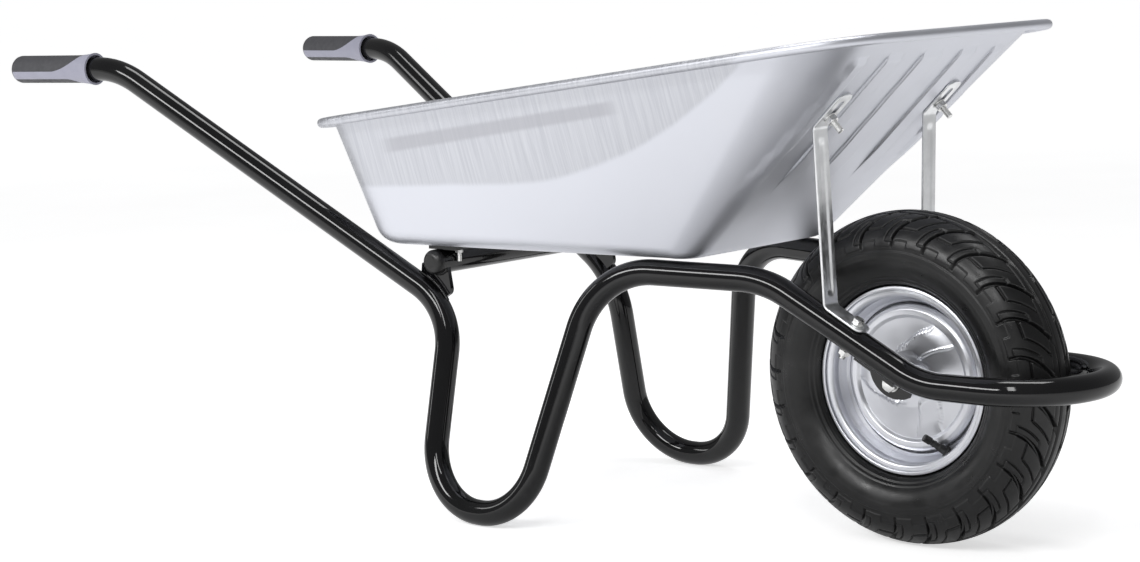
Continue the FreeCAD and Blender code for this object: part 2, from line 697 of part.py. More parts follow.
# ---------------------------------------------------------------- grips
def grip_placement(side):
    """Local +X points forwards along the handle; the local origin is at the grip's rear end."""
    end = on_side(HANDLE_END, side)
    forward = (on_side(HANDLE_BEND, side) - end).normalize()
    return FreeCAD.Placement(end - forward * GRIP_END_WALL, FreeCAD.Rotation(X_AXIS, forward))


def grip_block():
    """Outside of the grip: rounded rear end, plain barrel, flared collar at the front."""
    flat = GRIP_R - GRIP_END_ROUNDING
    part_way = GRIP_END_ROUNDING * math.sqrt(0.5)
    flare_middle = (GRIP_FLARE_START + GRIP_LENGTH) / 2
    barrel = (Vector(GRIP_END_ROUNDING, GRIP_R, 0), Vector(GRIP_FLARE_START, GRIP_R, 0))
    edges = [Part.LineSegment(Vector(0, 0, 0), Vector(0, flat, 0)).toShape(),
             Part.Arc(Vector(0, flat, 0), Vector(GRIP_END_ROUNDING - part_way, flat + part_way, 0),
                      barrel[0]).toShape(),
             Part.LineSegment(*barrel).toShape(),
             Part.Arc(barrel[1], Vector(flare_middle, GRIP_R + 0.75, 0),
                      Vector(GRIP_LENGTH, GRIP_COLLAR_R, 0)).toShape(),
             Part.LineSegment(Vector(GRIP_LENGTH, GRIP_COLLAR_R, 0), Vector(GRIP_LENGTH, 0, 0)).toShape(),
             Part.LineSegment(Vector(GRIP_LENGTH, 0, 0), Vector(0, 0, 0)).toShape()]
    return Part.Face(Part.Wire(edges)).revolve(Vector(0, 0, 0), X_AXIS, 360)


def grip_hollow():
    """Bore for the handle tube, with a wider mouth."""
    bore = rod(Vector(GRIP_END_WALL, 0, 0), Vector(GRIP_LENGTH + 1, 0, 0), TUBE_R)
    mouth = rod(Vector(GRIP_LENGTH - GRIP_MOUTH_DEPTH, 0, 0), Vector(GRIP_LENGTH + 1, 0, 0), GRIP_MOUTH_R)
    return bore.fuse(mouth)


def inlay_region():
    """Side view of the pale inlay: a stripe that spreads into the collar."""
    outside = 1.5 * GRIP_COLLAR_R
    collar_top, collar_low = GRIP_LENGTH - 18, GRIP_LENGTH - 21

    def p(x, z):
        return Vector(x, -outside, z)

    swoop_start, swoop_middle = p(INLAY_START + 76, INLAY_TOP), p(INLAY_START + 100, 4)
    dip_start, dip_middle = p(collar_low, -GRIP_R - 0.5), p(collar_low - 11, INLAY_LOW - 1.8)
    dip_end = p(INLAY_START + 96, INLAY_LOW)
    corners = [[dip_end, p(INLAY_START, INLAY_LOW), p(INLAY_START, INLAY_TOP), swoop_start],
               [p(collar_top, GRIP_R + 1), p(collar_top, outside), p(GRIP_LENGTH + 2, outside),
                p(GRIP_LENGTH + 2, -outside), p(collar_low, -outside), dip_start]]
    edges = [Part.LineSegment(a, b).toShape() for run in corners for a, b in zip(run, run[1:])]
    edges.insert(3, Part.Arc(swoop_start, swoop_middle, corners[1][0]).toShape())
    edges.append(Part.Arc(dip_start, dip_middle, dip_end).toShape())
    return Part.Face(Part.Wire(edges)).extrude(Y_AXIS * (2 * outside))


def grip_pieces():
    """The dark grip and its pale inlay, in local axes."""
    block = grip_block().cut(grip_hollow())
    core = rod(Vector(-1, 0, 0), Vector(GRIP_LENGTH - 18, 0, 0), GRIP_R - INLAY_GAUGE)
    region = inlay_region().cut(core)
    inlay = block.common(region)
    return block.cut(region), inlay


# ---------------------------------------------------------------- wheel
def ellipse_arc(half_width, side_r, crown_r):
    """Half ellipse from one side of the tyre over its crown to the other side."""
    centre = Vector(WHEEL_X + side_r, 0, WHEEL_Z)
    ellipse = Part.Ellipse(centre + Y_AXIS * half_width, centre + X_AXIS * (crown_r - side_r), centre)
    return Part.ArcOfEllipse(ellipse, 0, math.pi).toShape()


def tyre():
    """Casing with two beads and an open inside for the inner tube."""
    def p(r, y):
        return Vector(WHEEL_X + r, y, WHEEL_Z)

    bore_r = RIM_SEAT_R + BEAD_FIT
    inside_half = TYRE_HALF - TYRE_SIDE_WALL
    edges = [ellipse_arc(TYRE_HALF, TYRE_SIDE_R, TYRE_R),
             ellipse_arc(inside_half, TYRE_SIDE_R, TYRE_R - TYRE_CROWN_WALL)]
    for s in (1, -1):
        heel, toe = p(BEAD_HEEL[0], s * BEAD_HEEL[1]), p(BEAD_TOE[0], s * BEAD_TOE[1])
        bead = [heel, p(BEAD_TOP_R, s * BEAD_OUTER_HALF), p(bore_r, s * BEAD_OUTER_HALF),
                p(bore_r, s * BEAD_INNER_HALF), toe]
        edges += [Part.LineSegment(a, b).toShape() for a, b in zip(bead, bead[1:])]
        outside = p(SIDEWALL_OUTSIDE[0], s * SIDEWALL_OUTSIDE[1])
        inside = p(SIDEWALL_INSIDE[0], s * SIDEWALL_INSIDE[1])
        edges.append(Part.Arc(p(TYRE_SIDE_R, s * TYRE_HALF), outside, heel).toShape())
        edges.append(Part.Arc(toe, inside, p(TYRE_SIDE_R, s * inside_half)).toShape())
    face = Part.Face(Part.Wire(Part.sortEdges(edges)[0]))
    return face.revolve(WHEEL_CENTRE, Y_AXIS, 360)


def oval_ring(half_width, half_height):
    """Solid ring of oval section that fills the space inside the tyre."""
    middle = WHEEL_CENTRE + X_AXIS * INNER_TUBE_R
    ellipse = Part.Ellipse(middle + X_AXIS * half_height, middle + Y_AXIS * half_width, middle)
    return Part.Face(Part.Wire(ellipse.toShape())).revolve(WHEEL_CENTRE, Y_AXIS, 360)


def inner_tube():
    """Hollow rubber ring inside the tyre."""
    outer = oval_ring(INNER_TUBE_HALF, INNER_TUBE_RISE)
    return outer.cut(oval_ring(INNER_TUBE_HALF - INNER_TUBE_WALL, INNER_TUBE_RISE - INNER_TUBE_WALL))


def rim_half(side):
    """Pressed half rim: curled flange, bead seat, slope, joining ring, raised ring and domed disc."""
    face = RIM_CURL + RIM_WELL + RIM_RING + RIM_DISH
    profile = strip([(r, -y) for r, y in face], RIM_GAUGE)
    half = turned([(r, -side * y) for r, y in profile])
    if side < 0:
        base, direction = valve_axis()
        half = half.cut(rod(base - direction * 8, base + direction * 8, VALVE_HOLE_R))
    return half


def hub_tube():
    return sleeve(on_axle(-HUB_HALF), on_axle(HUB_HALF), HUB_R, BEARING_R)


def bearing(side):
    """Ball bearing drawn as one ring with relieved faces."""
    near, far = HUB_HALF - BEARING_WIDTH, HUB_HALF
    relieved = far - BEARING_RELIEF
    ring = turned([(BEARING_BORE_R, near), (BEARING_R, near), (BEARING_R, far), (BEARING_OUTER_RACE_R, far),
                   (BEARING_OUTER_RACE_R, relieved), (BEARING_INNER_RACE_R, relieved),
                   (BEARING_INNER_RACE_R, far), (BEARING_BORE_R, far)])
    return ring if side > 0 else ring.mirror(Vector(0, 0, 0), Y_AXIS)


def valve_axis():
    """Middle of the valve hole in the right half rim's slope, and the stem's direction."""
    foot, tip = [WHEEL_CENTRE + Vector(r * math.cos(angle), -y, r * math.sin(angle))
                 for r, angle, y in ((VALVE_FOOT_R, VALVE_FOOT_ANGLE, VALVE_FOOT_Y),
                                     (VALVE_TIP_R, VALVE_TIP_ANGLE, VALVE_TIP_Y))]
    return foot, (tip - foot).normalize()


def valve_stem():
    """Rubber-covered stem from the inner tube out through the dish."""
    base, direction = valve_axis()
    neck = base - direction * 6
    cone = Part.makeCone(VALVE_BASE_R, VALVE_NECK_R, 20, neck, direction)
    inside = rod(base - direction * VALVE_INSIDE, neck, VALVE_BASE_R)
    stem = inside.fuse([cone, rod(base, base + direction * VALVE_STEM_LENGTH, VALVE_STEM_R)])
    return stem.cut(oval_ring(INNER_TUBE_HALF, INNER_TUBE_RISE))


def valve_cap():
    base, direction = valve_axis()
    start = base + direction * (VALVE_STEM_LENGTH + SEAT_GAP)
    return rod(start, start + direction * VALVE_CAP_LENGTH, VALVE_CAP_R)


# ---------------------------------------------------------------- build
export(frame_tube(), "frame_tube")
export(rear_cross_tube(), "rear_cross_tube")
export(cross_tube_caps(), "cross_tube_caps")
export(tray(), "tray")
export(tray_floor_bolts(), "tray_floor_bolts")
export(tray_floor_nuts(), "tray_floor_nuts")
export(strut_top_bolts(), "strut_top_bolts")
export(strut_top_nuts(), "strut_top_nuts")
export(strut_foot_bolts(), "strut_foot_bolts")
export(strut_foot_nuts(), "strut_foot_nuts")
export(axle_bolt(), "axle_bolt")
export(axle_nut(), "axle_nut")
export(axle_washers(), "axle_washers")
export(axle_collars(), "axle_collars")
export(bearing_spacer(), "bearing_spacer")
export(tyre(), "tyre")
export(inner_tube(), "inner_tube")
export(hub_tube(), "hub_tube")
export(valve_stem(), "valve_stem")
export(valve_cap(), "valve_cap")
for name, side in SIDES:
    export(cross_bracket(side), "cross_bracket_" + name)
    export(tray_lug(side), "tray_lug_" + name)
    export(axle_bracket(side), "axle_bracket_" + name)
    export(strut(side), "strut_" + name)
    export(rim_half(side), "rim_half_" + name)
    export(bearing(side), "bearing_" + name)
    grip, inlay = [piece.copy() for piece in grip_pieces()]
    for piece, node in ((grip, "grip_"), (inlay, "grip_inlay_")):
        piece.Placement = grip_placement(side)
        export(piece, node + name)
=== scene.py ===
"""Looks of the builder's wheelbarrow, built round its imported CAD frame.

Everything stands in the CAD's own frame: +X towards the wheel, +Y to the left, +Z up.
Sizes are in millimetres and are multiplied by MM where a mesh is made; materials and stage use metres.
"""
import json
import math

import bmesh
import bpy
import numpy as np
from mathutils import Matrix, Vector


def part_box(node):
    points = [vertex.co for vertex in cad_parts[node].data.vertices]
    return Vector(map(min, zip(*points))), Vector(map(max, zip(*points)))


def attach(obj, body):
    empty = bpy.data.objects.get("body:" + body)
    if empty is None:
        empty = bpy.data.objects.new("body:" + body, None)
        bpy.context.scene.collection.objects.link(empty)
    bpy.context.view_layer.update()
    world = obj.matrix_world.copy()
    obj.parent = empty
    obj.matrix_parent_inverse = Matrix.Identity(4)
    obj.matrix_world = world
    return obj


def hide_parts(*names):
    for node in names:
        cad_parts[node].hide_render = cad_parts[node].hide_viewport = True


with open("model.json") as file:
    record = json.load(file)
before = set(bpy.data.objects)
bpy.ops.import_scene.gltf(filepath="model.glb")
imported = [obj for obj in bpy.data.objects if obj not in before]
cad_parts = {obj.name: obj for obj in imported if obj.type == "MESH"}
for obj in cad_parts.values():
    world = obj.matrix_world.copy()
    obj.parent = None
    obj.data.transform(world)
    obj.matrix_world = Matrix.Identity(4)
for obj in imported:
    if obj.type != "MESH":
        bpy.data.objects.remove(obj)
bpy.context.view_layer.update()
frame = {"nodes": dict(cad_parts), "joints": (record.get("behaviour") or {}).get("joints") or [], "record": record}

MM = 0.001
FRAME_BODY, WHEEL_BODY = "frame", "wheel"
WHEEL_CENTRE = np.array(frame["joints"][0]["pos_m"]) / MM
SIDES = (("left", 1), ("right", -1))

# tray, as in the CAD source
SHEET = 1.2
FLOOR_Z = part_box("tray")[0].z / MM
FLOOR_REAR_X, FLOOR_FRONT_X = -192.0, 297.3
FLOOR_HALVES, FLOOR_CORNERS = (206.0, 150.0), (58.0, 40.0)
FLOOR_FILLET = 30.0
RIM_REAR_X, RIM_FRONT_X = -228.0, 577.0
RIM_HALVES, RIM_CORNERS = (256.0, 240.0), (70.0, 80.0)
RIM_Z0, RIM_SLOPE = 536.2, 0.135
FLANGE = 20.0
BEAD_R = 6.0
NOSE_ANGLE = math.atan(0.972)
NOSE_RIBS = ((0.0, 38.0), (79.5, 30.0), (-79.5, 30.0), (149.5, 23.0), (-149.5, 23.0))
RIB_TOP_X, RIB_TOP_Z = 547.0, 585.0
RIB_LENGTH = 235.0
RIB_HEIGHT = 3.0
RIB_END, RIB_FADE, RIB_SHOULDER = 1.2, 70.0, (0.7, 0.9)
NOSE_REACH = 45.0
TRAY_COLUMNS = (16, (28, 340, 28, 20))
FOOT_STEPS, WALL_ROWS, LIP_STEPS, FLANGE_STEPS, BEAD_STEPS = 12, 60, 5, 3, 24
LIP_R = 4.0
BEAD_SWEEP = 300.0

# frame tube: centre line of the left half, from the handle end to the corner of the front loop
TUBE_R = 16.0
TUBE_WALL = 2.0
FRAME_LINE = ((-771, 284.5, 565), (-584, 264.5, 567), (-72, 167, 262), (-73, 220, 16), (85, 224, 16),
              (160, 154, 326), (384, 113, 321), (587, 100, 212), (760, 100, 212))
BEND_RADII = (128, 92, 85, 85, 100, 135, 118, 100)
NOSE_BEND, LOOP_START = np.array(FRAME_LINE[6], float), np.array(FRAME_LINE[7], float)

# struts and fasteners
STRUT_WIDTH = 28.0
STRUT_GAUGE = 3.0
STRUT_TOP_Y, STRUT_FOOT_Y = 117.0, 104.5
STRUT_X = 466.0
STRUT_BOLT_X = 479.0
STRUT_TAB_X = 506.0
STRUT_FOOT_REACH = 32.0
GROOVE_HALF = 4.6
GROOVE_DEPTH = 2.0
STRUT_LEAN = 4.0
STRUT_BEND_R = 8.5
STRUT_TOE = 14.0
STRUT_CORNER = 11.0
STRUT_CREASE = 50
EDGE_FLAT = 0.94
EDGE_SHARES = (0.0, 0.12, 0.22, 0.30, 0.38, 0.46, 0.6, 0.85, EDGE_FLAT, 0.985, 1.0)
GROOVE_OUT, GROOVE_IN = 2.4, 1.2
GROOVE_HEAD, GROOVE_TAIL = (12, 22), (-10, -20)
SLOT_SPAN, SLOT_STEPS, SLOT_CLEAR, SLOT_REACH = (3, 22), 16, 0.4, (6, 12)
SEAT_GAP = 0.1
BOLT_R, AXLE_R = 4.0, 5.0
HEX_M8, HEAD_M8, NUT_M8 = 13.0, 5.3, 6.5
HEX_M10, HEAD_M10, NUT_M10 = 17.0, 6.4, 8.4
WASHER_M8, WASHER_M10 = (1.6, 8.0), (2.0, 10.0)
TOP_BOLT, FOOT_BOLT = (27.5, 22.0), (49.0, 16.0)
AXLE_EXTRA, AXLE_THREAD, AXLE_PITCH = 16.5, 20.0, 1.5
BRACKET_INNER_Y, BRACKET_GAUGE = 46.6, 5.0


# ---- materials
class Look:
    """A Principled material with a few short ways to add procedural nodes."""

    def __init__(self, name, **values):
        self.material = bpy.data.materials.new(name)
        self.material.use_nodes = True
        self.tree = self.material.node_tree
        self.shader = self.tree.nodes["Principled BSDF"]
        self.coords = self.tree.nodes.new("ShaderNodeTexCoord").outputs["Object"]
        for key, value in values.items():
            self.shader.inputs[key.replace("_", " ")].default_value = value

    def put(self, socket, value):
        if isinstance(value, bpy.types.NodeSocket):
            self.tree.links.new(value, socket)
        else:
            socket.default_value = value

    def node(self, kind, output=0, inputs=(), **props):
        made = self.tree.nodes.new("ShaderNode" + kind)
        for name, value in props.items():
            setattr(made, name, value)
        for key, value in dict(inputs).items():
            self.put(made.inputs[key], value)
        return made.outputs[output]

    def scaled(self, factors):
        return self.node("Mapping", inputs={"Vector": self.coords, "Scale": factors})

    def noise(self, scale, detail=4.0, roughness=0.5, stretch=(1, 1, 1)):
        inputs = {"Vector": self.scaled(stretch), "Scale": scale, "Detail": detail, "Roughness": roughness}
        return self.node("TexNoise", inputs=inputs)

    def math(self, operation, a, b=0.0, c=0.0):
        return self.node("Math", inputs={0: a, 1: b, 2: c}, operation=operation)

    def spread(self, value, low, high, to_low=0.0, to_high=1.0):
        """Blend smoothly from one number to another while a value goes from low to high."""
        inputs = {"Value": value, "From Min": low, "From Max": high, "To Min": to_low, "To Max": to_high}
        return self.node("MapRange", inputs=inputs, interpolation_type="SMOOTHSTEP")

    def mix(self, factor, a, b):
        made = self.tree.nodes.new("ShaderNodeMix")
        made.data_type = "RGBA"
        self.put(made.inputs["Factor"], factor)
        self.put(made.inputs["A"], a)
        self.put(made.inputs["B"], b)
        return made.outputs["Result"]

    def blend(self, factor, a, b):
        """Blend between two plain values."""
        return self.node("Mix", inputs={"Factor": factor, "A": a, "B": b})

    def bump(self, height, strength, distance, normal=None):
        inputs = {"Height": height, "Strength": strength, "Distance": distance}
        if normal is not None:
            inputs["Normal"] = normal
        return self.node("Bump", inputs=inputs)

    def set(self, name, value):
        self.put(self.shader.inputs[name], value)


def rgba(r, g, b):
    return (r, g, b, 1.0)


def gloss_black():
    """Powder-coated tube: deep gloss with a faint orange peel and thin dust."""
    look = Look("gloss_black", Specular_IOR_Level=0.44)
    dust = look.spread(look.noise(9.0, 6.0), 0.45, 0.75)
    look.set("Base Color", look.mix(dust, rgba(0.0030, 0.0030, 0.0034), rgba(0.0065, 0.0065, 0.0068)))
    look.set("Roughness", look.spread(look.noise(26.0, 5.0), 0.3, 0.8, 0.05, 0.11))
    look.set("Normal", look.bump(look.noise(420.0, 2.0), 0.06, 0.0004))
    return look.material


def matte_black(name, tint, roughness):
    """Dull black rubber or plastic with a fine grain."""
    look = Look(name)
    dusty = 2 * tint
    look.set("Base Color", look.mix(look.noise(60.0, 5.0), rgba(tint, tint, tint), rgba(dusty, dusty, dusty)))
    look.set("Roughness", look.spread(look.noise(90.0, 4.0), 0.3, 0.7, roughness - 0.1, roughness + 0.12))
    look.set("Normal", look.bump(look.noise(900.0, 3.0), 0.15, 0.0003))
    return look.material


DRAW_START_X, DRAW_SLOPE, DRAW_Z, DRAW_CURVE = 0.06, 0.05, 0.427, 0.9
DRAW_SIDE_Y = (0.17, 0.20)
# Painted shade: a darker stripe high on the side walls, given by its lower and upper edge lines, its rear and
# front fades and its blur.
SHADE_BAND_SLOPES, SHADE_BAND_EDGES = (0.155, 0.150), (0.483, 0.500)
SHADE_BAND_REAR_X, SHADE_BAND_FRONT_X = (-0.125, -0.09), (0.27, 0.235)
SHADE_BAND_BLUR = 0.003


def galvanised():
    """Pressed galvanised sheet: smooth lower wall, burnished draw zone above it, and a darker stripe of painted
    shade high on the side walls.
    """
    look = Look("galvanised_sheet", Metallic=0.9)
    parts = look.node("SeparateXYZ", inputs={0: look.coords})
    x, y, z = parts.node.outputs
    beyond = look.math("MAXIMUM", look.math("SUBTRACT", x, DRAW_START_X), 0.0)
    curve = look.math("MULTIPLY", look.math("MULTIPLY", beyond, beyond), DRAW_CURVE)
    border = look.math("ADD", look.math("MULTIPLY_ADD", x, DRAW_SLOPE, DRAW_Z), curve)
    wobble = look.math("MULTIPLY_ADD", look.noise(14.0, 2.0), 0.006, -0.003)
    above = look.math("ADD", look.math("SUBTRACT", z, border), wobble)
    drawn = look.spread(above, -0.003, 0.005)
    side_only = look.spread(look.math("ABSOLUTE", y), *DRAW_SIDE_Y)
    drawn = look.math("MULTIPLY", drawn, side_only)
    streaks = look.noise(1.0, 6.0, 0.70, (340.0, 14.0, 7.0))
    fine = look.noise(1.0, 3.0, 0.6, (1300.0, 40.0, 20.0))
    cloud = look.noise(7.0, 4.0, 0.55)
    base = look.mix(cloud, rgba(0.61, 0.625, 0.68), rgba(0.69, 0.70, 0.745))
    wear_and_painted_shade = look.mix(look.spread(streaks, 0.30, 0.70), rgba(0.475, 0.485, 0.525), rgba(0.595, 0.605, 0.64))
    # Mask of the darker stripe of painted shade, between two slanted lines and faded at its rear and front ends.
    shade_band_low, shade_band_high = [look.math("MULTIPLY_ADD", x, slope, edge)
                           for slope, edge in zip(SHADE_BAND_SLOPES, SHADE_BAND_EDGES)]
    painted_shade_band = look.math("MULTIPLY", look.spread(look.math("SUBTRACT", z, shade_band_low), -SHADE_BAND_BLUR, SHADE_BAND_BLUR),
                     look.spread(look.math("SUBTRACT", shade_band_high, z), -SHADE_BAND_BLUR, SHADE_BAND_BLUR))
    painted_shade_band = look.math("MULTIPLY", painted_shade_band, look.spread(x, *SHADE_BAND_REAR_X))
    painted_shade_band = look.math("MULTIPLY", painted_shade_band, look.spread(x, *SHADE_BAND_FRONT_X))
    # Paint the shade stripe into the draw zone's colour as a darker grey.
    wear_and_painted_shade = look.mix(look.math("MULTIPLY", painted_shade_band, 0.55), wear_and_painted_shade, rgba(0.37, 0.37, 0.40))
    look.set("Base Color", look.mix(drawn, base, wear_and_painted_shade))
    smooth = look.spread(cloud, 0.3, 0.7, 0.40, 0.50)
    rubbed = look.spread(streaks, 0.3, 0.7, 0.38, 0.50)
    look.set("Roughness", look.blend(drawn, smooth, rubbed))
    grain = look.bump(look.noise(260.0, 3.0), 0.05, 0.0004)
    scratches = look.math("MULTIPLY", look.math("ADD", streaks, fine), drawn)
    look.set("Normal", look.bump(scratches, 0.18, 0.0004, grain))
    return look.material


def bright_zinc(name, tint, roughness):
    """Bright zinc plate with soft blotches and light scuffs."""
    look = Look(name, Metallic=1.0)
    blotch = look.noise(38.0, 5.0, 0.6)
    low = rgba(*[0.90 * c for c in tint])
    look.set("Base Color", look.mix(look.spread(blotch, 0.3, 0.7), low, rgba(*tint)))
    look.set("Roughness", look.spread(look.noise(120.0, 4.0), 0.3, 0.7, roughness - 0.08, roughness + 0.12))
    look.set("Normal", look.bump(look.noise(700.0, 3.0), 0.08, 0.0003))
    return look.material


def wheel_silver():
    """Pressed wheel: bright metal with turning marks round the axle and cloudy patches."""
    look = Look("wheel_silver", Metallic=0.92)
    to_axle = (-WHEEL_CENTRE[0] * MM, 0.0, -WHEEL_CENTRE[2] * MM)
    shifted = look.node("Mapping", inputs={"Vector": look.coords, "Location": to_axle})
    parts = look.node("SeparateXYZ", inputs={0: shifted})
    x, _, z = parts.node.outputs
    radius = look.math("SQRT", look.math("ADD", look.math("MULTIPLY", x, x), look.math("MULTIPLY", z, z)))
    turning = {"W": look.math("MULTIPLY", radius, 900.0), "Scale": 1.0, "Detail": 3.0}
    rings = look.node("TexNoise", inputs=turning, noise_dimensions="1D")
    cloud = look.noise(20.0, 1.5, 0.45)
    low, high = rgba(0.68, 0.69, 0.73), rgba(0.77, 0.78, 0.82)
    look.set("Base Color", look.mix(look.spread(cloud, 0.35, 0.65), low, high))
    look.set("Roughness", look.spread(cloud, 0.3, 0.7, 0.30, 0.40))
    look.set("Normal", look.bump(rings, 0.04, 0.0002))
    return look.material


def tyre_rubber():
    """Dark moulded rubber, a little dusty, with mould grain."""
    look = Look("tyre_rubber", Specular_IOR_Level=0.42)
    dust = look.spread(look.noise(16.0, 7.0, 0.62), 0.42, 0.72)
    look.set("Base Color", look.mix(dust, rgba(0.0040, 0.0040, 0.0042), rgba(0.0100, 0.0100, 0.0102)))
    look.set("Roughness", look.spread(look.noise(45.0, 5.0), 0.3, 0.7, 0.27, 0.42))
    look.set("Normal", look.bump(look.noise(700.0, 4.0), 0.16, 0.0004))
    return look.material


def grip_dark():
    """Stippled soft black moulding of the grips."""
    look = Look("grip_dark")
    low, high = rgba(0.036, 0.036, 0.041), rgba(0.058, 0.058, 0.064)
    look.set("Base Color", look.mix(look.noise(70.0, 4.0), low, high))
    stipple = look.node("TexVoronoi", inputs={"Vector": look.coords, "Scale": 700.0})
    look.set("Normal", look.bump(stipple, 0.25, 0.0004))
    look.set("Roughness", look.spread(look.noise(120.0, 3.0), 0.3, 0.7, 0.52, 0.72))
    return look.material


def grip_pale():
    """Smooth pale grey inlay and collar of the grips."""
    look = Look("grip_pale")
    look.set("Base Color", look.mix(look.noise(50.0, 4.0), rgba(0.26, 0.26, 0.32), rgba(0.31, 0.31, 0.38)))
    look.set("Normal", look.bump(look.noise(900.0, 3.0), 0.12, 0.0003))
    look.set("Roughness", look.spread(look.noise(90.0, 3.0), 0.3, 0.7, 0.42, 0.6))
    return look.material


MATERIALS = {
    "black_paint": gloss_black(),
    "tray_galvanised": galvanised(),
    "zinc_bar": bright_zinc("zinc_bar", (0.86, 0.87, 0.88), 0.38),
    "zinc_fastener": bright_zinc("zinc_fastener", (0.84, 0.84, 0.83), 0.30),
    "wheel_silver": wheel_silver(),
    "bearing_steel": bright_zinc("bearing_steel", (0.55, 0.55, 0.56), 0.22),
    "tyre_rubber": tyre_rubber(),
    "tube_rubber": matte_black("tube_rubber", 0.014, 0.6),
    "valve_rubber": matte_black("valve_rubber", 0.010, 0.45),
    "grip_dark": grip_dark(),
    "grip_pale": grip_pale(),
    "cap_plastic": matte_black("cap_plastic", 0.004, 0.38),
}


# ---- mesh helpers
def add_piece(name, mesh, body, slot, nodes=()):
    """Put a finished mesh into the scene as a piece on a body; it may stand for some CAD nodes."""
    piece = bpy.data.objects.new(name, mesh)
    bpy.context.scene.collection.objects.link(piece)
    mesh.materials.clear()
    mesh.materials.append(MATERIALS[slot])
    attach(piece, body)
    if nodes:
        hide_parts(*nodes)
    return piece


def grid_mesh(name, points, close_rows=False, close_columns=False, flip=False):
    """Quad mesh through an array of points [rows, columns, 3] given in millimetres."""
    rows, columns = points.shape[:2]
    index = np.arange(rows * columns).reshape(rows, columns)
    if close_rows:
        index = np.vstack([index, index[:1]])
    if close_columns:
        index = np.hstack([index, index[:, :1]])
    quads = np.stack([index[:-1, :-1], index[:-1, 1:], index[1:, 1:], index[1:, :-1]], axis=-1).reshape(-1, 4)
    if flip:
        quads = quads[:, ::-1]
    mesh = bpy.data.meshes.new(name)
    mesh.from_pydata((points.reshape(-1, 3) * MM).tolist(), [], quads.tolist())
    mesh.shade_smooth()
    return mesh


def unit(v):
    return v / np.linalg.norm(v, axis=-1, keepdims=True)


def smoothstep(low, high, value):
    """0 at low, 1 at high and a smooth rise between; low may be the larger one."""
    t = np.clip((value - low) / (high - low), 0.0, 1.0)
    return t * t * (3 - 2 * t)


def corner_points(before, corner, after, radius, count):
    """Points along the arc that rounds one corner of a polyline, in two or three dimensions."""
    u = (before - corner) / np.linalg.norm(before - corner)
    v = (after - corner) / np.linalg.norm(after - corner)
    half = math.acos(np.clip(np.dot(u, v), -1, 1)) / 2
    bisector = (u + v) / np.linalg.norm(u + v)
    centre = corner + bisector * radius / math.sin(half)
    start = corner + u * radius / math.tan(half) - centre
    end = corner + v * radius / math.tan(half) - centre
    side = end - start * np.dot(end, start) / radius ** 2
    side *= radius / np.linalg.norm(side)
    angles = np.linspace(0, math.pi - 2 * half, count)
    return [centre + start * math.cos(a) + side * math.sin(a) for a in angles]


def rounded_line(points, radii, step, arc_count=8):
    """Polyline with rounded corners and its straight stretches cut into steps."""
    points = [np.array(p, float) for p in points]
    runs = [[points[0]]]
    for i in range(1, len(points) - 1):
        runs.append(corner_points(points[i - 1], points[i], points[i + 1], radii[i - 1], arc_count))
    runs.append([points[-1]])
    out = [runs[0][0]]
    for run in runs[1:]:
        gap = np.linalg.norm(run[0] - out[-1])
        parts = max(1, math.ceil(gap / step))
        start = out[-1]
        out += [start + (run[0] - start) * k / parts for k in range(1, parts + 1)]
        out += run[1:]
    return np.array(out)


def turned_mesh(name, profile, count, shift=None):
    """Revolve a closed (radius, y) profile about the axle; shift(r, y, angle) may move the points."""
    angles = np.linspace(0, 2 * math.pi, count, endpoint=False)
    r = np.repeat(profile[:, 0][:, None], count, axis=1)
    y = np.repeat(profile[:, 1][:, None], count, axis=1)
    a = np.repeat(angles[None, :], len(profile), axis=0)
    if shift is not None:
        r, y = shift(r, y, a)
    points = np.stack([WHEEL_CENTRE[0] + r * np.cos(a), y, WHEEL_CENTRE[2] + r * np.sin(a)], axis=-1)
    return grid_mesh(name, points, close_rows=True, close_columns=True)


def tidy(mesh, crease=None):
    """Weld doubled points, turn the faces outwards and keep edges sharper than the crease angle."""
    shape = bmesh.new()
    shape.from_mesh(mesh)
    bmesh.ops.remove_doubles(shape, verts=shape.verts, dist=1e-6)
    bmesh.ops.dissolve_degenerate(shape, edges=shape.edges, dist=1e-7)
    bmesh.ops.recalc_face_normals(shape, faces=shape.faces)
    shape.to_mesh(mesh)
    shape.free()
    mesh.shade_smooth()
    if crease:
        mesh.set_sharp_from_angle(angle=math.radians(crease))
    return mesh


def joined(name, grids, crease=38):
    """One mesh out of several point grids, each given as (points, close_rows, close_columns)."""
    shape = bmesh.new()
    for points, close_rows, close_columns in grids:
        part = grid_mesh("part", points, close_rows, close_columns)
        shape.from_mesh(part)
        bpy.data.meshes.remove(part)
    mesh = bpy.data.meshes.new(name)
    shape.to_mesh(mesh)
    shape.free()
    return tidy(mesh, crease)


def run_along(line):
    """Distance along a line of points, from its first point."""
    return np.concatenate([[0.0], np.cumsum(np.linalg.norm(np.diff(line, axis=0), axis=1))])


def spread_centre(ring):
    """A ring's centre, once for each of its points, to close an end."""
    return np.repeat(ring.mean(0)[None], len(ring), 0)


def carried_normals(tangent):
    """A normal for each tangent of a line, carried along without twist, and the direction square to both."""
    normal = across(tangent[0])[0]
    frames = []
    for t in tangent:
        normal = unit(normal - t * np.dot(normal, t))
        frames.append((normal, np.cross(t, normal)))
    return [np.array(v) for v in zip(*frames)]


def across(axis):
    """Two unit directions square to an axis."""
    helper = np.array([0.0, 1.0, 0.0]) if abs(axis[1]) < 0.9 else np.array([1.0, 0.0, 0.0])
    first = unit(np.cross(axis, helper))
    return first, np.cross(axis, first)


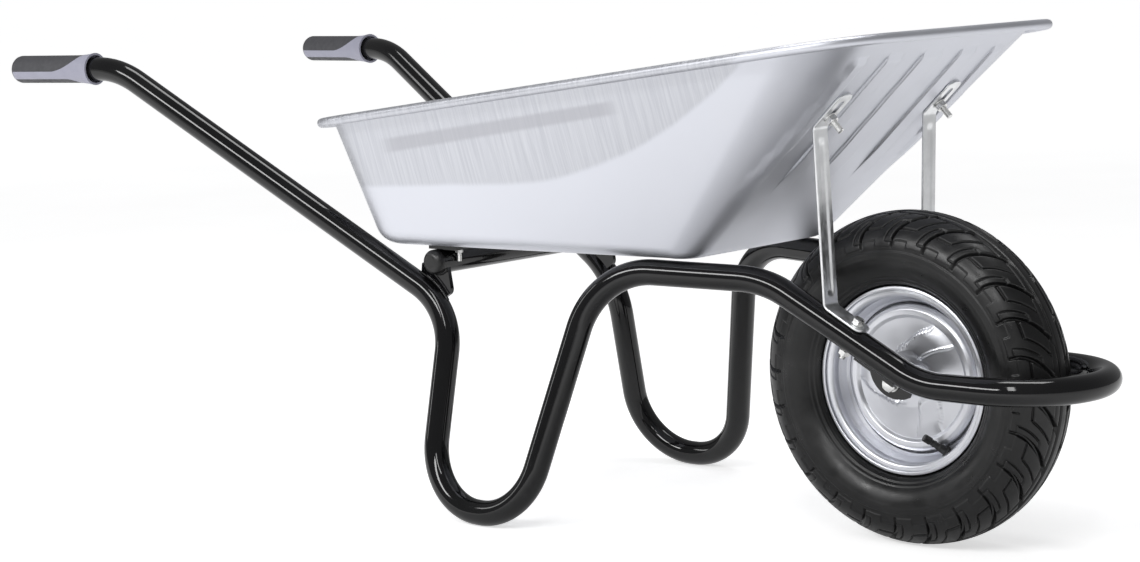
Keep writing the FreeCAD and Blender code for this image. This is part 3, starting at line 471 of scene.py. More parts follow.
def turned_about(base, axis, profile, count, rule=None):
    """Grid of a (radius, height) profile revolved about any axis; rule(r, h, a) may change the radius."""
    profile = np.array(profile, float)
    first, second = across(axis)
    a = np.linspace(0, 2 * math.pi, count, endpoint=False)[None, :]
    r = np.repeat(profile[:, 0:1], count, axis=1)
    h = np.repeat(profile[:, 1:2], count, axis=1)
    if rule is not None:
        r = rule(r, h, a)
    points = (base + h[..., None] * axis + (r * np.cos(a))[..., None] * first
              + (r * np.sin(a))[..., None] * second)
    return points, False, True


# ---- tray
def tray_outline(rear, front, halves, corner_radii, height):
    """Closed rounded outline inside the sheet, right rear corner first, a fixed point count per stretch."""
    rear, front = rear + SHEET, front - SHEET / math.sin(NOSE_ANGLE)
    rear_half, front_half = [half - SHEET for half in halves]
    plan = [(rear, -rear_half), (front, -front_half), (front, front_half), (rear, rear_half)]
    corners = [np.array([x, y, height(x)]) for x, y in plan]
    radii = [r - SHEET for r in corner_radii + corner_radii[::-1]]
    arc_count, side_counts = TRAY_COLUMNS
    arcs = [corner_points(corners[i - 1], corners[i], corners[(i + 1) % 4], radii[i], arc_count)
            for i in range(4)]
    out = []
    for i, arc in enumerate(arcs):
        out += arc
        start, end = arc[-1], arcs[(i + 1) % 4][0]
        parts = side_counts[i]
        out += [start + (end - start) * k / parts for k in range(1, parts)]
    return np.array(out)


def outward(points):
    """Level outward normals of a closed outline that runs anticlockwise seen from above."""
    along = np.roll(points, -1, axis=0) - np.roll(points, 1, axis=0)
    return unit(np.stack([along[:, 1], -along[:, 0], np.zeros(len(points))], axis=-1))


def rib_lift(points):
    """How far the nose's ribs stand out at each point."""
    x, y, z = np.moveaxis(points, -1, 0)
    down = (RIB_TOP_Z - z) / math.sin(NOSE_ANGLE)
    on_nose = np.abs((z - RIB_TOP_Z) - (x - RIB_TOP_X) * math.tan(NOSE_ANGLE)) < NOSE_REACH
    ends = smoothstep(-RIB_END, RIB_END, down) * smoothstep(RIB_LENGTH, RIB_LENGTH - RIB_FADE, down)
    lift = np.zeros(points.shape[:-1])
    for centre, width in NOSE_RIBS:
        outer, inner = width / 2 + RIB_SHOULDER[0], width / 2 - RIB_SHOULDER[1]
        lift = np.maximum(lift, smoothstep(outer, inner, np.abs(y - centre)) * ends)
    return RIB_HEIGHT * lift * on_nose


def fillet(corner, first, second, radius, steps):
    """Rows of points round the fillet of a corner line, from its first side to its second."""
    half = np.arccos(np.clip((first * second).sum(-1), -1, 1)) / 2
    reach = (radius / np.tan(half))[:, None]
    centre = corner + unit(first + second) * (radius / np.sin(half))[:, None]
    start = corner + first * reach - centre
    end = corner + second * reach - centre
    side = unit(end - start * (end * start).sum(-1, keepdims=True) / radius ** 2) * radius
    turn = math.pi - 2 * half
    return [centre + start * np.cos(turn * k / steps)[:, None] + side * np.sin(turn * k / steps)[:, None]
            for k in range(steps + 1)]


def tray_rows():
    """Rows of points from the floor's edge round the foot, up the wall, over the lip and round the bead."""
    floor = tray_outline(FLOOR_REAR_X, FLOOR_FRONT_X, FLOOR_HALVES, FLOOR_CORNERS, lambda x: FLOOR_Z)
    rim = tray_outline(RIM_REAR_X, RIM_FRONT_X, RIM_HALVES, RIM_CORNERS, lambda x: RIM_Z0 + RIM_SLOPE * x)
    wall = unit(rim - floor)
    floor = floor + wall * (SHEET / wall[:, 2:3])
    out_rim = outward(rim)
    out_rim[:, 2] = RIM_SLOPE * out_rim[:, 0]
    out_rim = unit(out_rim)
    up = np.array([-RIM_SLOPE, 0, 1.0]) / math.hypot(1, RIM_SLOPE)
    rows = fillet(floor, -outward(floor), wall, FLOOR_FILLET - SHEET, FOOT_STEPS)
    lip = fillet(rim, -wall, out_rim, LIP_R, LIP_STEPS)
    foot = rows[-1]
    rows += [foot + (lip[0] - foot) * k / WALL_ROWS for k in range(1, WALL_ROWS + 1)]
    rows += lip[1:]
    bead_centre = rim + out_rim * (FLANGE - BEAD_R + SHEET) - up * BEAD_R
    last = rows[-1]
    rows += [last + (bead_centre + up * BEAD_R - last) * k / FLANGE_STEPS for k in range(1, FLANGE_STEPS)]
    for k in range(BEAD_STEPS + 1):
        angle = math.radians(90 - BEAD_SWEEP * k / BEAD_STEPS)
        rows.append(bead_centre + out_rim * (BEAD_R * math.cos(angle)) + up * (BEAD_R * math.sin(angle)))
    return np.array(rows)


def tray():
    """One sheet: floor, rounded foot, flared walls with the nose's ribs, flange and rolled edge."""
    points = tray_rows()
    face_out = unit(np.cross(np.roll(points, -1, axis=1) - np.roll(points, 1, axis=1),
                             np.roll(points, -1, axis=0) - np.roll(points, 1, axis=0)))
    lift = rib_lift(points)
    lift[:FOOT_STEPS + 1] = 0.0
    lift[FOOT_STEPS + 1 + WALL_ROWS:] = 0.0
    points = points + face_out * lift[..., None]
    mesh = grid_mesh("tray_sheet", points, close_columns=True, flip=True)
    shape = bmesh.new()
    shape.from_mesh(mesh)
    shape.verts.ensure_lookup_table()
    shape.faces.new([shape.verts[i] for i in range(points.shape[1])])
    bmesh.ops.recalc_face_normals(shape, faces=shape.faces)
    shape.faces.ensure_lookup_table()
    if shape.faces[-1].normal.z < 0:
        bmesh.ops.reverse_faces(shape, faces=shape.faces)
    shape.to_mesh(mesh)
    shape.free()
    mesh.shade_smooth()
    piece = add_piece("tray_sheet", mesh, FRAME_BODY, "tray_galvanised", ["tray"])
    solid = piece.modifiers.new("gauge", "SOLIDIFY")
    solid.thickness = SHEET * MM
    solid.offset = -1.0
    solid.use_even_offset = True


# ---- wheel
TYRE_CROWN_R, TYRE_SIDE_R, TYRE_HALF = 200.0, 154.0, 51.5
CASING_CROWN, CASING_SIDE, CASING_CLEAR = 9.0, 6.0, 2.0
TYRE_POINTS, TYRE_INNER_EVERY, TYRE_COLUMNS = 151, 5, 1440
BEAD_LINE = ((144, 51.3), (131, 45.8), (116, 34), (113.8, 27.1), (101.8, 27.1), (101.8, 16), (110, 21.5))
BEAD_BENDS = (42, 35, 8, 1.5, 1.5, 0.6)
SIDEWALL_RIDGES = ((119.5, 0.9), (124.0, 0.7), (149.0, 0.6))
RIDGE_HALF, RIDGE_Y = 0.9, 33.0

# tread; distances "out" are measured along the surface from the crown's middle line
TREAD_PITCHES = 24
TREAD_SWEEP, SWEEP_POWER, SWEEP_START, SWEEP_REACH = 48.0, 1.9, 7.0, 55.0
TREAD_ARC = 49.0
# shift in the pitch, half width, depth, and where it starts and ends out
SWEPT_GROOVES = ((0.0, 2.1, 6.5, 7, 70), (0.5, 0.9, 3.5, 16, 44), (0.22, 0.8, 3.2, 30, 62))
# place out, half width, depth, and the part of the pitch it crosses
CROSS_CUTS = ((30.0, 0.9, 3.5, 0.0, 0.22), (44.0, 1.1, 4.0, 0.5, 1.0), (61.0, 0.8, 3.0, 0.0, 0.22))
# place out, half width, depth
CROWN_RINGS = ((7.0, 1.6, 5.0), (15.0, 0.7, 2.5))
GROOVE_EDGE_OUT, GROOVE_EDGE_IN, GROOVE_END, CUT_END = 0.7, 0.5, 1.5, 0.01
SHALLOWER, SHALLOW_SPAN = 0.4, (46, 68)
BLOCK_HEIGHT, BLOCK_START = 1.6, (52, 60)
LONG_BLOCK_END, SHORT_BLOCK_END = (69.5, 68.0), (60.5, 59.0)
BLOCK_GAP, BLOCK_SPLIT = (0.0, 0.02), (0.54, 0.56)
SIDE_SHARE = 0.8


def tyre_profile():
    """Closed (radius, y) profile of the tyre, left bead over the crown to the right bead and back inside."""
    t = np.linspace(0, math.pi, TYRE_POINTS)
    rise = TYRE_CROWN_R - TYRE_SIDE_R
    outer = np.stack([TYRE_SIDE_R + rise * np.sin(t), TYRE_HALF * np.cos(t)], -1)
    foot = rounded_line([(TYRE_SIDE_R, TYRE_HALF), *BEAD_LINE], BEAD_BENDS, 1.2, 7)
    t = t[::TYRE_INNER_EVERY]
    inner = np.stack([TYRE_SIDE_R + (rise - CASING_CROWN) * np.sin(t),
                      (TYRE_HALF - CASING_SIDE) * np.cos(t)], -1)
    other = foot * np.array([1, -1])
    return np.vstack([outer[:-1], other, inner[::-1], foot[::-1][:-1]])


def groove(distance, half_width):
    """1 on a groove's floor, 0 beside it, from the distance to its middle line."""
    return smoothstep(half_width + GROOVE_EDGE_OUT, half_width - GROOVE_EDGE_IN, np.abs(distance))


def tread(r, y, a):
    """Cut the tread's curved main grooves, their short companions, cross cuts and the crown's rings."""
    width = np.sqrt(np.clip(1 - (y / (TYRE_HALF - CASING_SIDE)) ** 2, 0, 1))
    outside = r > TYRE_SIDE_R + (TYRE_CROWN_R - CASING_CROWN - TYRE_SIDE_R) * width + CASING_CLEAR
    outside &= r > TYRE_SIDE_R
    theta = np.arccos(np.clip(y / TYRE_HALF, -1, 1))
    out = np.abs(theta - math.pi / 2) * TREAD_ARC
    pitch = 2 * math.pi * TYRE_CROWN_R / TREAD_PITCHES
    along = a * TYRE_CROWN_R + np.where(y < 0, 0.0, pitch / 2)
    left = 1 - np.clip((out - SWEEP_START) / SWEEP_REACH, 0, 1)
    slope = TREAD_SWEEP * SWEEP_POWER * left ** (SWEEP_POWER - 1) / SWEEP_REACH
    phase = (along + TREAD_SWEEP * left ** SWEEP_POWER) / pitch
    lean = np.sqrt(1 + slope ** 2)
    step = phase - np.floor(phase)

    def swept(shift, half_width, depth, low, high):
        """A groove that follows the main sweep, shifted by part of a pitch."""
        moved = phase - shift
        distance = (moved - np.round(moved)) * pitch / lean
        span = smoothstep(low, low + GROOVE_END, out) * smoothstep(high, high - GROOVE_END, out)
        return depth * groove(distance, half_width) * span

    def cross_cut(place, half_width, depth, first, last):
        """A cut round the tyre that joins two swept grooves."""
        span = smoothstep(first, first + CUT_END, step) * smoothstep(last, last - CUT_END, step)
        return depth * groove(out - place, half_width) * span

    cuts = [swept(*values) for values in SWEPT_GROOVES] + [cross_cut(*values) for values in CROSS_CUTS]
    cuts += [depth * groove(out - place, half_width) for place, half_width, depth in CROWN_RINGS]
    depth = np.maximum.reduce(cuts) * (1 - SHALLOWER * smoothstep(*SHALLOW_SPAN, out)) * outside
    second = smoothstep(*BLOCK_SPLIT, step)
    block = smoothstep(*LONG_BLOCK_END, out) * smoothstep(*BLOCK_GAP, step) * (1 - second)
    block = block + smoothstep(*SHORT_BLOCK_END, out) * second
    shoulder = smoothstep(*BLOCK_START, out) * outside
    depth = depth + BLOCK_HEIGHT * (shoulder - np.minimum(block, shoulder))
    ridges = sum(height * groove(r - ring, RIDGE_HALF) for ring, height in SIDEWALL_RIDGES)
    ridges = ridges * (np.abs(y) > RIDGE_Y)
    return r - depth * np.sin(theta), y - depth * np.cos(theta) * SIDE_SHARE + ridges * np.sign(y)


def tyre():
    mesh = turned_mesh("tyre_tread", tyre_profile(), TYRE_COLUMNS, tread)
    add_piece("tyre_tread", mesh, WHEEL_BODY, "tyre_rubber", ["tyre"])


# ---- pressed wheel
RIM_GAUGE = 1.6
SWIRLS = 3
SWIRL_HEIGHT = 3.4
SWIRL_EDGE_A = ((16, 175), (29, 143), (43, 96), (66, 68), (71, 66))
SWIRL_EDGE_B = ((13, 94), (31, 52), (62, 36), (73, 33))
SWIRL_LEAD, SWIRL_RAMP_A, SWIRL_RAMP_B = 0.2, 2.2, 3.4
SWIRL_LOW = 0.45
CREST_A, CREST_B, CREST_HALF = (2.6, 0.7), (3.6, 0.9), 1.2
SWIRL_START, SWIRL_FADE, CREST_FADE = (24, 36), (77, 54), (74, 69.5)
DISC_LINE = ((108.6, 32.4), (112.9, 31.4), (113.0, 28.4), (110.5, 27.3), (101.7, 27.3), (101.7, 14.5),
             (96, 5), (91, 0.2), (88, 0.2), (85, 8.2), (82, 10.4), (77, 10.4), (73, 6.8), (52, 9.8),
             (34, 12.6), (18.2, 13.4))
DISC_BENDS = (1.4, 1.2, 1.0, 3.2, 3, 5, 1.2, 1.2, 2, 1.5, 1.5, 2, 12, 12)
DISC_COLUMNS = 390


def swirl(r, a):
    """How far the three curved vanes stand out of the dish at a radius and an angle."""
    edge_a, edge_b = [np.interp(r, *np.array(points, float).T) for points in (SWIRL_EDGE_A, SWIRL_EDGE_B)]
    turn = 360.0 / SWIRLS
    past_b = np.mod(np.degrees(a) - edge_b, turn)
    span = np.mod(edge_a - edge_b, turn)
    mm_per_degree = np.maximum(r, 1.0) * math.pi / 180
    from_b = past_b * mm_per_degree
    from_a = (span - past_b) * mm_per_degree
    inside = smoothstep(-SWIRL_LEAD, SWIRL_RAMP_B, from_b) * smoothstep(-SWIRL_LEAD, SWIRL_RAMP_A, from_a)
    tilt = SWIRL_LOW + (1 - SWIRL_LOW) * np.clip(past_b / np.maximum(span, 1.0), 0, 1)
    crest = sum(height * groove(gone - place, CREST_HALF)
                for gone, (place, height) in ((from_b, CREST_B), (from_a, CREST_A)))
    lift = SWIRL_HEIGHT * tilt * smoothstep(*SWIRL_FADE, r) + crest * smoothstep(*CREST_FADE, r)
    return lift * inside * smoothstep(*SWIRL_START, r)


def wheel_disc(name, side):
    """One pressed half of the wheel, closed all round its sheet."""
    face = rounded_line(DISC_LINE, DISC_BENDS, 2.6, 5)
    along = np.gradient(face, axis=0)
    normal = unit(np.stack([along[:, 1], -along[:, 0]], -1))
    profile = np.vstack([face, (face + normal * RIM_GAUGE)[::-1]])

    def press(r, y, a):
        seen = a if side < 0 else math.pi - a
        return r, side * (y + swirl(r, seen))

    mesh = turned_mesh("wheel_disc_" + name, profile, DISC_COLUMNS, press)
    add_piece("wheel_disc_" + name, tidy(mesh), WHEEL_BODY, "wheel_silver", ["rim_half_" + name])


# ---- bars and fasteners
HEX_COLUMNS, WASHER_COLUMNS, SHANK_COLUMNS = 96, 64, 48
HEX_EASE, WASHER_EASE = 0.25, 0.3
HEX_STEPS = (0.0, 0.15, 0.35, 0.6, 0.85, 1.1)
THREAD_STEPS, THREAD_DEPTH = 8, 0.62
TIP_LENGTH, TIP_EASE = 0.5, 0.9


def hex_grid(base, axis, height, flats, bore, chamfers=(True, True)):
    """Hexagon with turned chamfers, and a bore if one is given."""
    half = flats / 2
    heights = list(HEX_STEPS) + [height - t for t in reversed(HEX_STEPS)]
    profile = [(bore, 0.0)] + [(flats, h) for h in heights] + [(bore, height)]

    def rule(r, h, a):
        """Cut the full round down to the six flats and the turned chamfers."""
        sector = np.mod(a, math.pi / 3) - math.pi / 6
        hexagon = half / np.cos(sector)
        bevel = np.full_like(r, flats)
        if chamfers[0]:
            bevel = np.minimum(bevel, half - HEX_EASE + h * math.sqrt(3))
        if chamfers[1]:
            bevel = np.minimum(bevel, half - HEX_EASE + (height - h) * math.sqrt(3))
        return np.where(r > flats - 1, np.minimum(hexagon, bevel), r)

    if bore > 0:
        profile.append(profile[0])
    return turned_about(base, axis, profile, HEX_COLUMNS, rule)


def washer_grid(base, axis, height, outer, bore):
    profile = [(bore, 0), (outer - WASHER_EASE, 0), (outer, WASHER_EASE), (outer, height - WASHER_EASE),
               (outer - WASHER_EASE, height), (bore, height), (bore, 0)]
    return turned_about(base, axis, profile, WASHER_COLUMNS)


def shank_grid(base, axis, length, threaded, radius=BOLT_R, pitch=1.25):
    """Bolt shank from the base along the axis: plain first, then cut with a helical thread to its end."""
    plain = length - threaded
    steps = int(threaded / pitch * THREAD_STEPS)
    heights = [0.0, plain] + [plain + threaded * k / steps for k in range(1, steps + 1)]
    tip = length + TIP_LENGTH
    profile = [(0.0, 0.0)] + [(radius, h) for h in heights] + [(radius - TIP_EASE, tip), (0.0, tip)]

    def rule(r, h, a):
        """Sink the outer surface along a helix."""
        wave = np.abs(2 * np.mod(h / pitch - a / (2 * math.pi), 1.0) - 1)
        ends = smoothstep(plain, plain + 1.0, h) * smoothstep(length + 0.4, length - 0.6, h)
        return np.where(r > radius - 0.1, r - THREAD_DEPTH * wave * ends, r)

    return turned_about(base, axis, profile, SHANK_COLUMNS, rule)


def nose_out():
    """Direction square to the nose, pointing out of the tray."""
    return np.array([math.sin(NOSE_ANGLE), 0.0, -math.cos(NOSE_ANGLE)])


def nose_point(x, clearance=0.0):
    """Point of the nose's outer face at one x in the middle plane, lifted off it by a clearance."""
    z = RIB_TOP_Z + (x - RIB_TOP_X) * math.tan(NOSE_ANGLE)
    return np.array([x, 0.0, z]) + nose_out() * clearance


def strut_foot_axis():
    """In the plane of one strut: bolt seat on the falling tube, the tube's direction, its upward normal."""
    fall = LOOP_START - NOSE_BEND
    along = unit(np.array([fall[0], 0.0, fall[2]]))
    up = np.array([-along[2], 0.0, along[0]])
    share = (STRUT_X + STRUT_FOOT_REACH - NOSE_BEND[0]) / fall[0]
    centre = NOSE_BEND + fall * share
    return np.array([centre[0], 0.0, centre[2]]) + up * (TUBE_R + SEAT_GAP), along, up


def at_side(point, y):
    return point + np.array([0.0, y, 0.0])


def strut_line():
    """Middle line of a strut's bar from tab to toe, and how far along it the two bends are."""
    clear = STRUT_GAUGE / 2 + SEAT_GAP
    seat, along, up = strut_foot_axis()
    foot = seat + up * clear
    top = nose_point(STRUT_X, clear)
    low = foot - along * ((foot[0] - STRUT_X - STRUT_LEAN) / along[0])
    line = rounded_line([nose_point(STRUT_TAB_X, clear), top, low, foot + along * STRUT_TOE],
                        [STRUT_BEND_R, STRUT_BEND_R], 1.4, 12)
    run = run_along(line)
    return line, run, [run[np.argmin(np.linalg.norm(line - bend, axis=1))] for bend in (top, low)]


def strut(name, side):
    """Pressed bar: slotted tab on the nose, grooved leg, rounded tab on the tube."""
    line, run, (run_top, run_low) = strut_line()
    tangent = unit(np.gradient(line, axis=0))
    face = np.stack([-tangent[:, 2], np.zeros(len(line)), tangent[:, 0]], -1)
    share = np.clip((run - run_top) / (run_low - run_top), 0, 1)
    middle = side * (STRUT_TOP_Y + (STRUT_FOOT_Y - STRUT_TOP_Y) * share)
    half = STRUT_WIDTH / 2
    from_end = np.minimum(run, run[-1] - run)
    round_end = np.sqrt(np.clip(STRUT_CORNER ** 2 - (STRUT_CORNER - from_end) ** 2, 0, None))
    width = np.where(from_end < STRUT_CORNER, half - STRUT_CORNER + round_end, half)
    offsets = np.array([-share for share in EDGE_SHARES[:0:-1]] + list(EDGE_SHARES))
    grooved = smoothstep(*[run_top + v for v in GROOVE_HEAD], run) * smoothstep(
        *[run_low + v for v in GROOVE_TAIL], run)
    u = offsets[None, :] * width[:, None]
    dip = GROOVE_DEPTH * smoothstep(GROOVE_HALF + GROOVE_OUT, GROOVE_HALF - GROOVE_IN, np.abs(u))
    dip = dip * grooved[:, None]
    past_flat = (np.abs(offsets)[None, :] - EDGE_FLAT) / (1 - EDGE_FLAT)
    roll = STRUT_GAUGE / 2 * np.sqrt(np.clip(1 - past_flat.clip(0, 1) ** 2, 0.0, 1))
    rows = []
    for way, order in ((1, slice(None)), (-1, slice(None, None, -1))):
        points = line[:, None, :] + face[:, None, :] * (way * roll - dip)[..., None]
        points = points + np.array([0, 1.0, 0]) * (middle[:, None] + u)[..., None]
        rows.append(points[:, order])
    points = np.concatenate([rows[0], rows[1][:, 1:-1]], axis=1)
    grids = [(points, False, True)]
    grids += [(np.stack([ring, spread_centre(ring)]), False, True) for ring in (points[0], points[-1])]
    mesh = joined("strut_bar_" + name, grids, STRUT_CREASE)
    piece = add_piece("strut_bar_" + name, mesh, FRAME_BODY, "zinc_bar", ["strut_" + name])
    top = at_side(nose_point(STRUT_BOLT_X), side * STRUT_TOP_Y)
    climb = np.array([math.cos(NOSE_ANGLE), 0, math.sin(NOSE_ANGLE)])
    cut_slot(piece, *[top + climb * v for v in SLOT_SPAN], nose_out(), BOLT_R + SLOT_CLEAR)


def cut_slot(piece, start, end, axis, radius):
    """Cut a round-ended slot through a piece."""
    direction = unit(end - start)
    sideways = np.cross(axis, direction)
    outline = []
    for centre, reach in ((end, radius), (start, -radius)):
        for k in range(SLOT_STEPS + 1):
            angle = math.pi * k / SLOT_STEPS
            outline.append(centre + reach * (direction * math.sin(angle) + sideways * math.cos(angle)))
    outline = np.array(outline)
    low, high = outline - axis * SLOT_REACH[0], outline + axis * SLOT_REACH[1]
    points = np.stack([spread_centre(low), low, high, spread_centre(high)])
    mesh = joined("slot_cutter", [(points, False, True)])
    cutter = bpy.data.objects.new("slot_cutter", mesh)
    bpy.context.scene.collection.objects.link(cutter)
    cut = piece.modifiers.new("slot", "BOOLEAN")
    cut.object = cutter
    cut.operation = "DIFFERENCE"
    cut.solver = "EXACT"
    bpy.context.view_layer.update()
    done = bpy.data.meshes.new_from_object(piece.evaluated_get(bpy.context.evaluated_depsgraph_get()))
    piece.modifiers.clear()
    piece.data = done
    bpy.data.objects.remove(cutter)
    done.set_sharp_from_angle(angle=math.radians(STRUT_CREASE))


def add_fasteners(sets):
    """Add each named set of grids as one zinc piece that stands for the CAD node of that name."""
    for name, grids in sets:
        add_piece(name + "_turned", joined(name + "_turned", grids), FRAME_BODY, "zinc_fastener", [name])


def strut_fasteners():
    """The struts' bolts, washers and nuts, top and foot."""
    tops, top_nuts, feet, foot_nuts = [], [], [], []
    out = nose_out()
    foot_seat, _, up = strut_foot_axis()
    for _, side in SIDES:
        seat = at_side(nose_point(STRUT_BOLT_X), side * STRUT_TOP_Y)
        tops += [hex_grid(seat - out * (SHEET + HEAD_M8), out, HEAD_M8, HEX_M8, 0.0, (True, False)),
                 shank_grid(seat - out * (SHEET + 1), out, *TOP_BOLT)]
        base = seat + out * (STRUT_GAUGE + 2 * SEAT_GAP)
        top_nuts += [washer_grid(base, out, *WASHER_M8, BOLT_R),
                     hex_grid(base + out * WASHER_M8[0], out, NUT_M8, HEX_M8, BOLT_R)]
        foot = at_side(foot_seat, side * STRUT_FOOT_Y)
        top = foot + up * (STRUT_GAUGE + 3 * SEAT_GAP)
        feet += [washer_grid(top, up, *WASHER_M8, BOLT_R - SEAT_GAP),
                 hex_grid(top + up * WASHER_M8[0], up, HEAD_M8, HEX_M8, 0.0, (False, True)),
                 shank_grid(top + up * 2, -up, *FOOT_BOLT)]
        foot_nuts.append(hex_grid(foot - up * (2 * TUBE_R + 3 * SEAT_GAP), -up, NUT_M8, HEX_M8, BOLT_R))
    add_fasteners((("strut_top_bolts", tops), ("strut_top_nuts", top_nuts), ("strut_foot_bolts", feet),
                   ("strut_foot_nuts", foot_nuts)))


def axle_fasteners():
    """Through bolt of the axle with its head on the right, nut on the left and two washers."""
    left = np.array([0.0, 1.0, 0.0])
    thick, wide = WASHER_M10
    outer = BRACKET_INNER_Y + BRACKET_GAUGE
    head = WHEEL_CENTRE - left * (outer + thick)
    bolt = [hex_grid(head - left * HEAD_M10, left, HEAD_M10, HEX_M10, 0.0, (True, False)),
            shank_grid(head - left, left, 2 * outer + AXLE_EXTRA, AXLE_THREAD, AXLE_R, AXLE_PITCH)]
    nut_grid = [hex_grid(WHEEL_CENTRE + left * (outer + thick), left, NUT_M10, HEX_M10, AXLE_R)]
    washers = [washer_grid(WHEEL_CENTRE + left * s * outer, left * s, thick, wide, AXLE_R + SEAT_GAP)
               for _, s in SIDES]
    add_fasteners((("axle_bolt", bolt), ("axle_nut", nut_grid), ("axle_washers", washers)))


# radius, angle and depth of the valve's two ends
VALVE_ENDS = ((97.5, -60, 8.5), (70.5, -66, 30.0))
STEM_LINE = ((0, -16), (5.4, -16), (5.4, -6), (5.2, 1.0), (7.0, 1.4), (7.0, 3.0), (5.2, 3.8), (4.8, 13.4),
             (4.0, 14.2), (3.8, 18.6), (4.3, 19.0), (4.3, 20.4), (3.8, 20.8), (3.8, 24.6), (0, 24.6))
CAP_AT, CAP_R, CAP_FOOT_R, CAP_GRIP, CAP_STEPS = 25.1, 4.6, 4.3, (1.0, 8.6), 16
CAP_RIBS, RIB_CUT, RIB_ENDS = 14, 0.4, ((1.2, 1.8), (8.4, 7.8))
STEM_COLUMNS, CAP_COLUMNS, VALVE_CREASE = 40, 112, 30


def valve():
    """Tapered rubber stem through the dish, with a ribbed screw cap."""
    ends = [(r, math.radians(turn), y) for r, turn, y in VALVE_ENDS]
    foot, tip = [WHEEL_CENTRE + np.array([r * math.cos(turn), -y, r * math.sin(turn)]) for r, turn, y in ends]
    axis = unit(tip - foot)

    def knurl(r, h, a):
        ribbed = smoothstep(*RIB_ENDS[0], h) * smoothstep(*RIB_ENDS[1], h)
        return np.where(r > CAP_FOOT_R, r - RIB_CUT * ribbed * np.cos(a * CAP_RIBS) ** 2, r)

    low, high = CAP_GRIP
    grip = [(CAP_R, low + (high - low) * k / CAP_STEPS) for k in range(CAP_STEPS + 1)]
    cap_line = [(0, 0), (CAP_FOOT_R, 0), (CAP_R, 0.4)] + grip + [(4.5, 9.2), (3.9, 9.9), (0, 10.0)]
    stem = turned_about(foot, axis, STEM_LINE, STEM_COLUMNS)
    cap = turned_about(foot + axis * CAP_AT, axis, cap_line, CAP_COLUMNS, knurl)
    pieces = (("valve_stem_turned", stem, "valve_stem"), ("valve_cap_ribbed", cap, "valve_cap"))
    for name, grid, node in pieces:
        add_piece(name, joined(name, [grid], VALVE_CREASE), WHEEL_BODY, "valve_rubber", [node])


# ---- frame tube
TUBE_STEP, TUBE_ARC_POINTS, TUBE_COLUMNS, TUBE_CREASE = 25.0, 30, 48, 60
CROSS_PLATE_Y, CROSS_PLATE_GAUGE = 162.0, 6.0
WELD_R, WELD_RIPPLE, WELD_STEPS, WELD_COLUMNS = 2.4, 3.2, 6, 12
WELD_VALLEY, WELD_END = 0.86, 0.05
WELD_ARC = (215, 331, 5)
WELD_X, WELD_Z = (-128, -60), (262, 330)


def frame_line():
    """Points along the whole bent tube, left handle end to right handle end."""
    left = [np.array(p, float) for p in FRAME_LINE]
    right = [p * np.array([1, -1, 1]) for p in reversed(left)]
    bends = list(BEND_RADII) + list(BEND_RADII[::-1])
    return rounded_line(left + right, bends, TUBE_STEP, TUBE_ARC_POINTS)


def frame_tube():
    """The one bent tube, closed round its wall at both ends."""
    line = frame_line()
    first, second = carried_normals(unit(np.gradient(line, axis=0)))
    a = np.linspace(0, 2 * math.pi, TUBE_COLUMNS, endpoint=False)
    ring = np.cos(a)[None, :, None] * first[:, None] + np.sin(a)[None, :, None] * second[:, None]
    outer, inner = [line[:, None] + radius * ring for radius in (TUBE_R, TUBE_R - TUBE_WALL)]
    mesh = joined("frame_tube_bent", [(np.concatenate([outer, inner[::-1]]), True, True)], TUBE_CREASE)
    add_piece("frame_tube_bent", mesh, FRAME_BODY, "black_paint", ["frame_tube"])


def weld(name, path):
    """Rippled bead along a line of points."""
    path = np.array(path, float)
    run = run_along(path)
    where = np.arange(0.0, run[-1], WELD_RIPPLE / WELD_STEPS)
    line = np.stack([np.interp(where, run, path[:, k]) for k in range(3)], -1)
    first, second = carried_normals(unit(np.gradient(line, axis=0)))
    a = np.linspace(0, 2 * math.pi, WELD_COLUMNS, endpoint=False)[:, None]
    rings = []
    for point, w, normal, other in zip(line, where, first, second):
        end = math.sqrt(max(WELD_END, 1 - max(0.0, 1 - min(w, run[-1] - w) / WELD_R) ** 2))
        ripple = WELD_VALLEY + (1 - WELD_VALLEY) * abs(math.sin(math.pi * w / WELD_RIPPLE))
        rings.append(point + WELD_R * end * ripple * (np.cos(a) * normal + np.sin(a) * other))
    points = np.array([spread_centre(rings[0])] + rings + [spread_centre(rings[-1])])
    add_piece(name, joined(name, [(points, False, True)], None), FRAME_BODY, "black_paint")


def welds():
    """Beads where the cross tube's web plates meet the cross tube and the bent tube."""
    low, high = [np.array(v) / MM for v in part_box("rear_cross_tube")]
    centre = (low + high) / 2
    line = frame_line()
    for name, side in SIDES:
        face = side * (CROSS_PLATE_Y + CROSS_PLATE_GAUGE)
        turns = [math.radians(d) for d in range(*WELD_ARC)]
        weld("weld_cross_" + name, [centre + np.array([TUBE_R * math.cos(t), face, TUBE_R * math.sin(t)])
                                    for t in turns])
        seam = []
        for before, (x, y, z), after in zip(line, line[1:], line[2:]):
            gap = y - face
            beside = y * side > 0 and WELD_X[0] < x < WELD_X[1] and WELD_Z[0] < z < WELD_Z[1]
            if beside and abs(gap) < TUBE_R:
                t = unit(after - before)
                ahead = unit(np.array([abs(t[2]), 0, abs(t[0])]))
                seam.append(np.array([x, face, z]) + ahead * math.sqrt(TUBE_R ** 2 - gap ** 2))
        weld("weld_frame_" + name, seam)


# ---- carried-over CAD nodes
CAD_CREASE = 32


def finish_cad_nodes():
    """Give every CAD node that stays its material."""
    slots = {part["node"]: part["material_slot"] for part in frame["record"]["subparts"]}
    for name, node in frame["nodes"].items():
        node.data.materials.clear()
        node.data.materials.append(MATERIALS[slots[name]])
        node.data.shade_smooth()
        node.data.set_sharp_from_angle(angle=math.radians(CAD_CREASE))


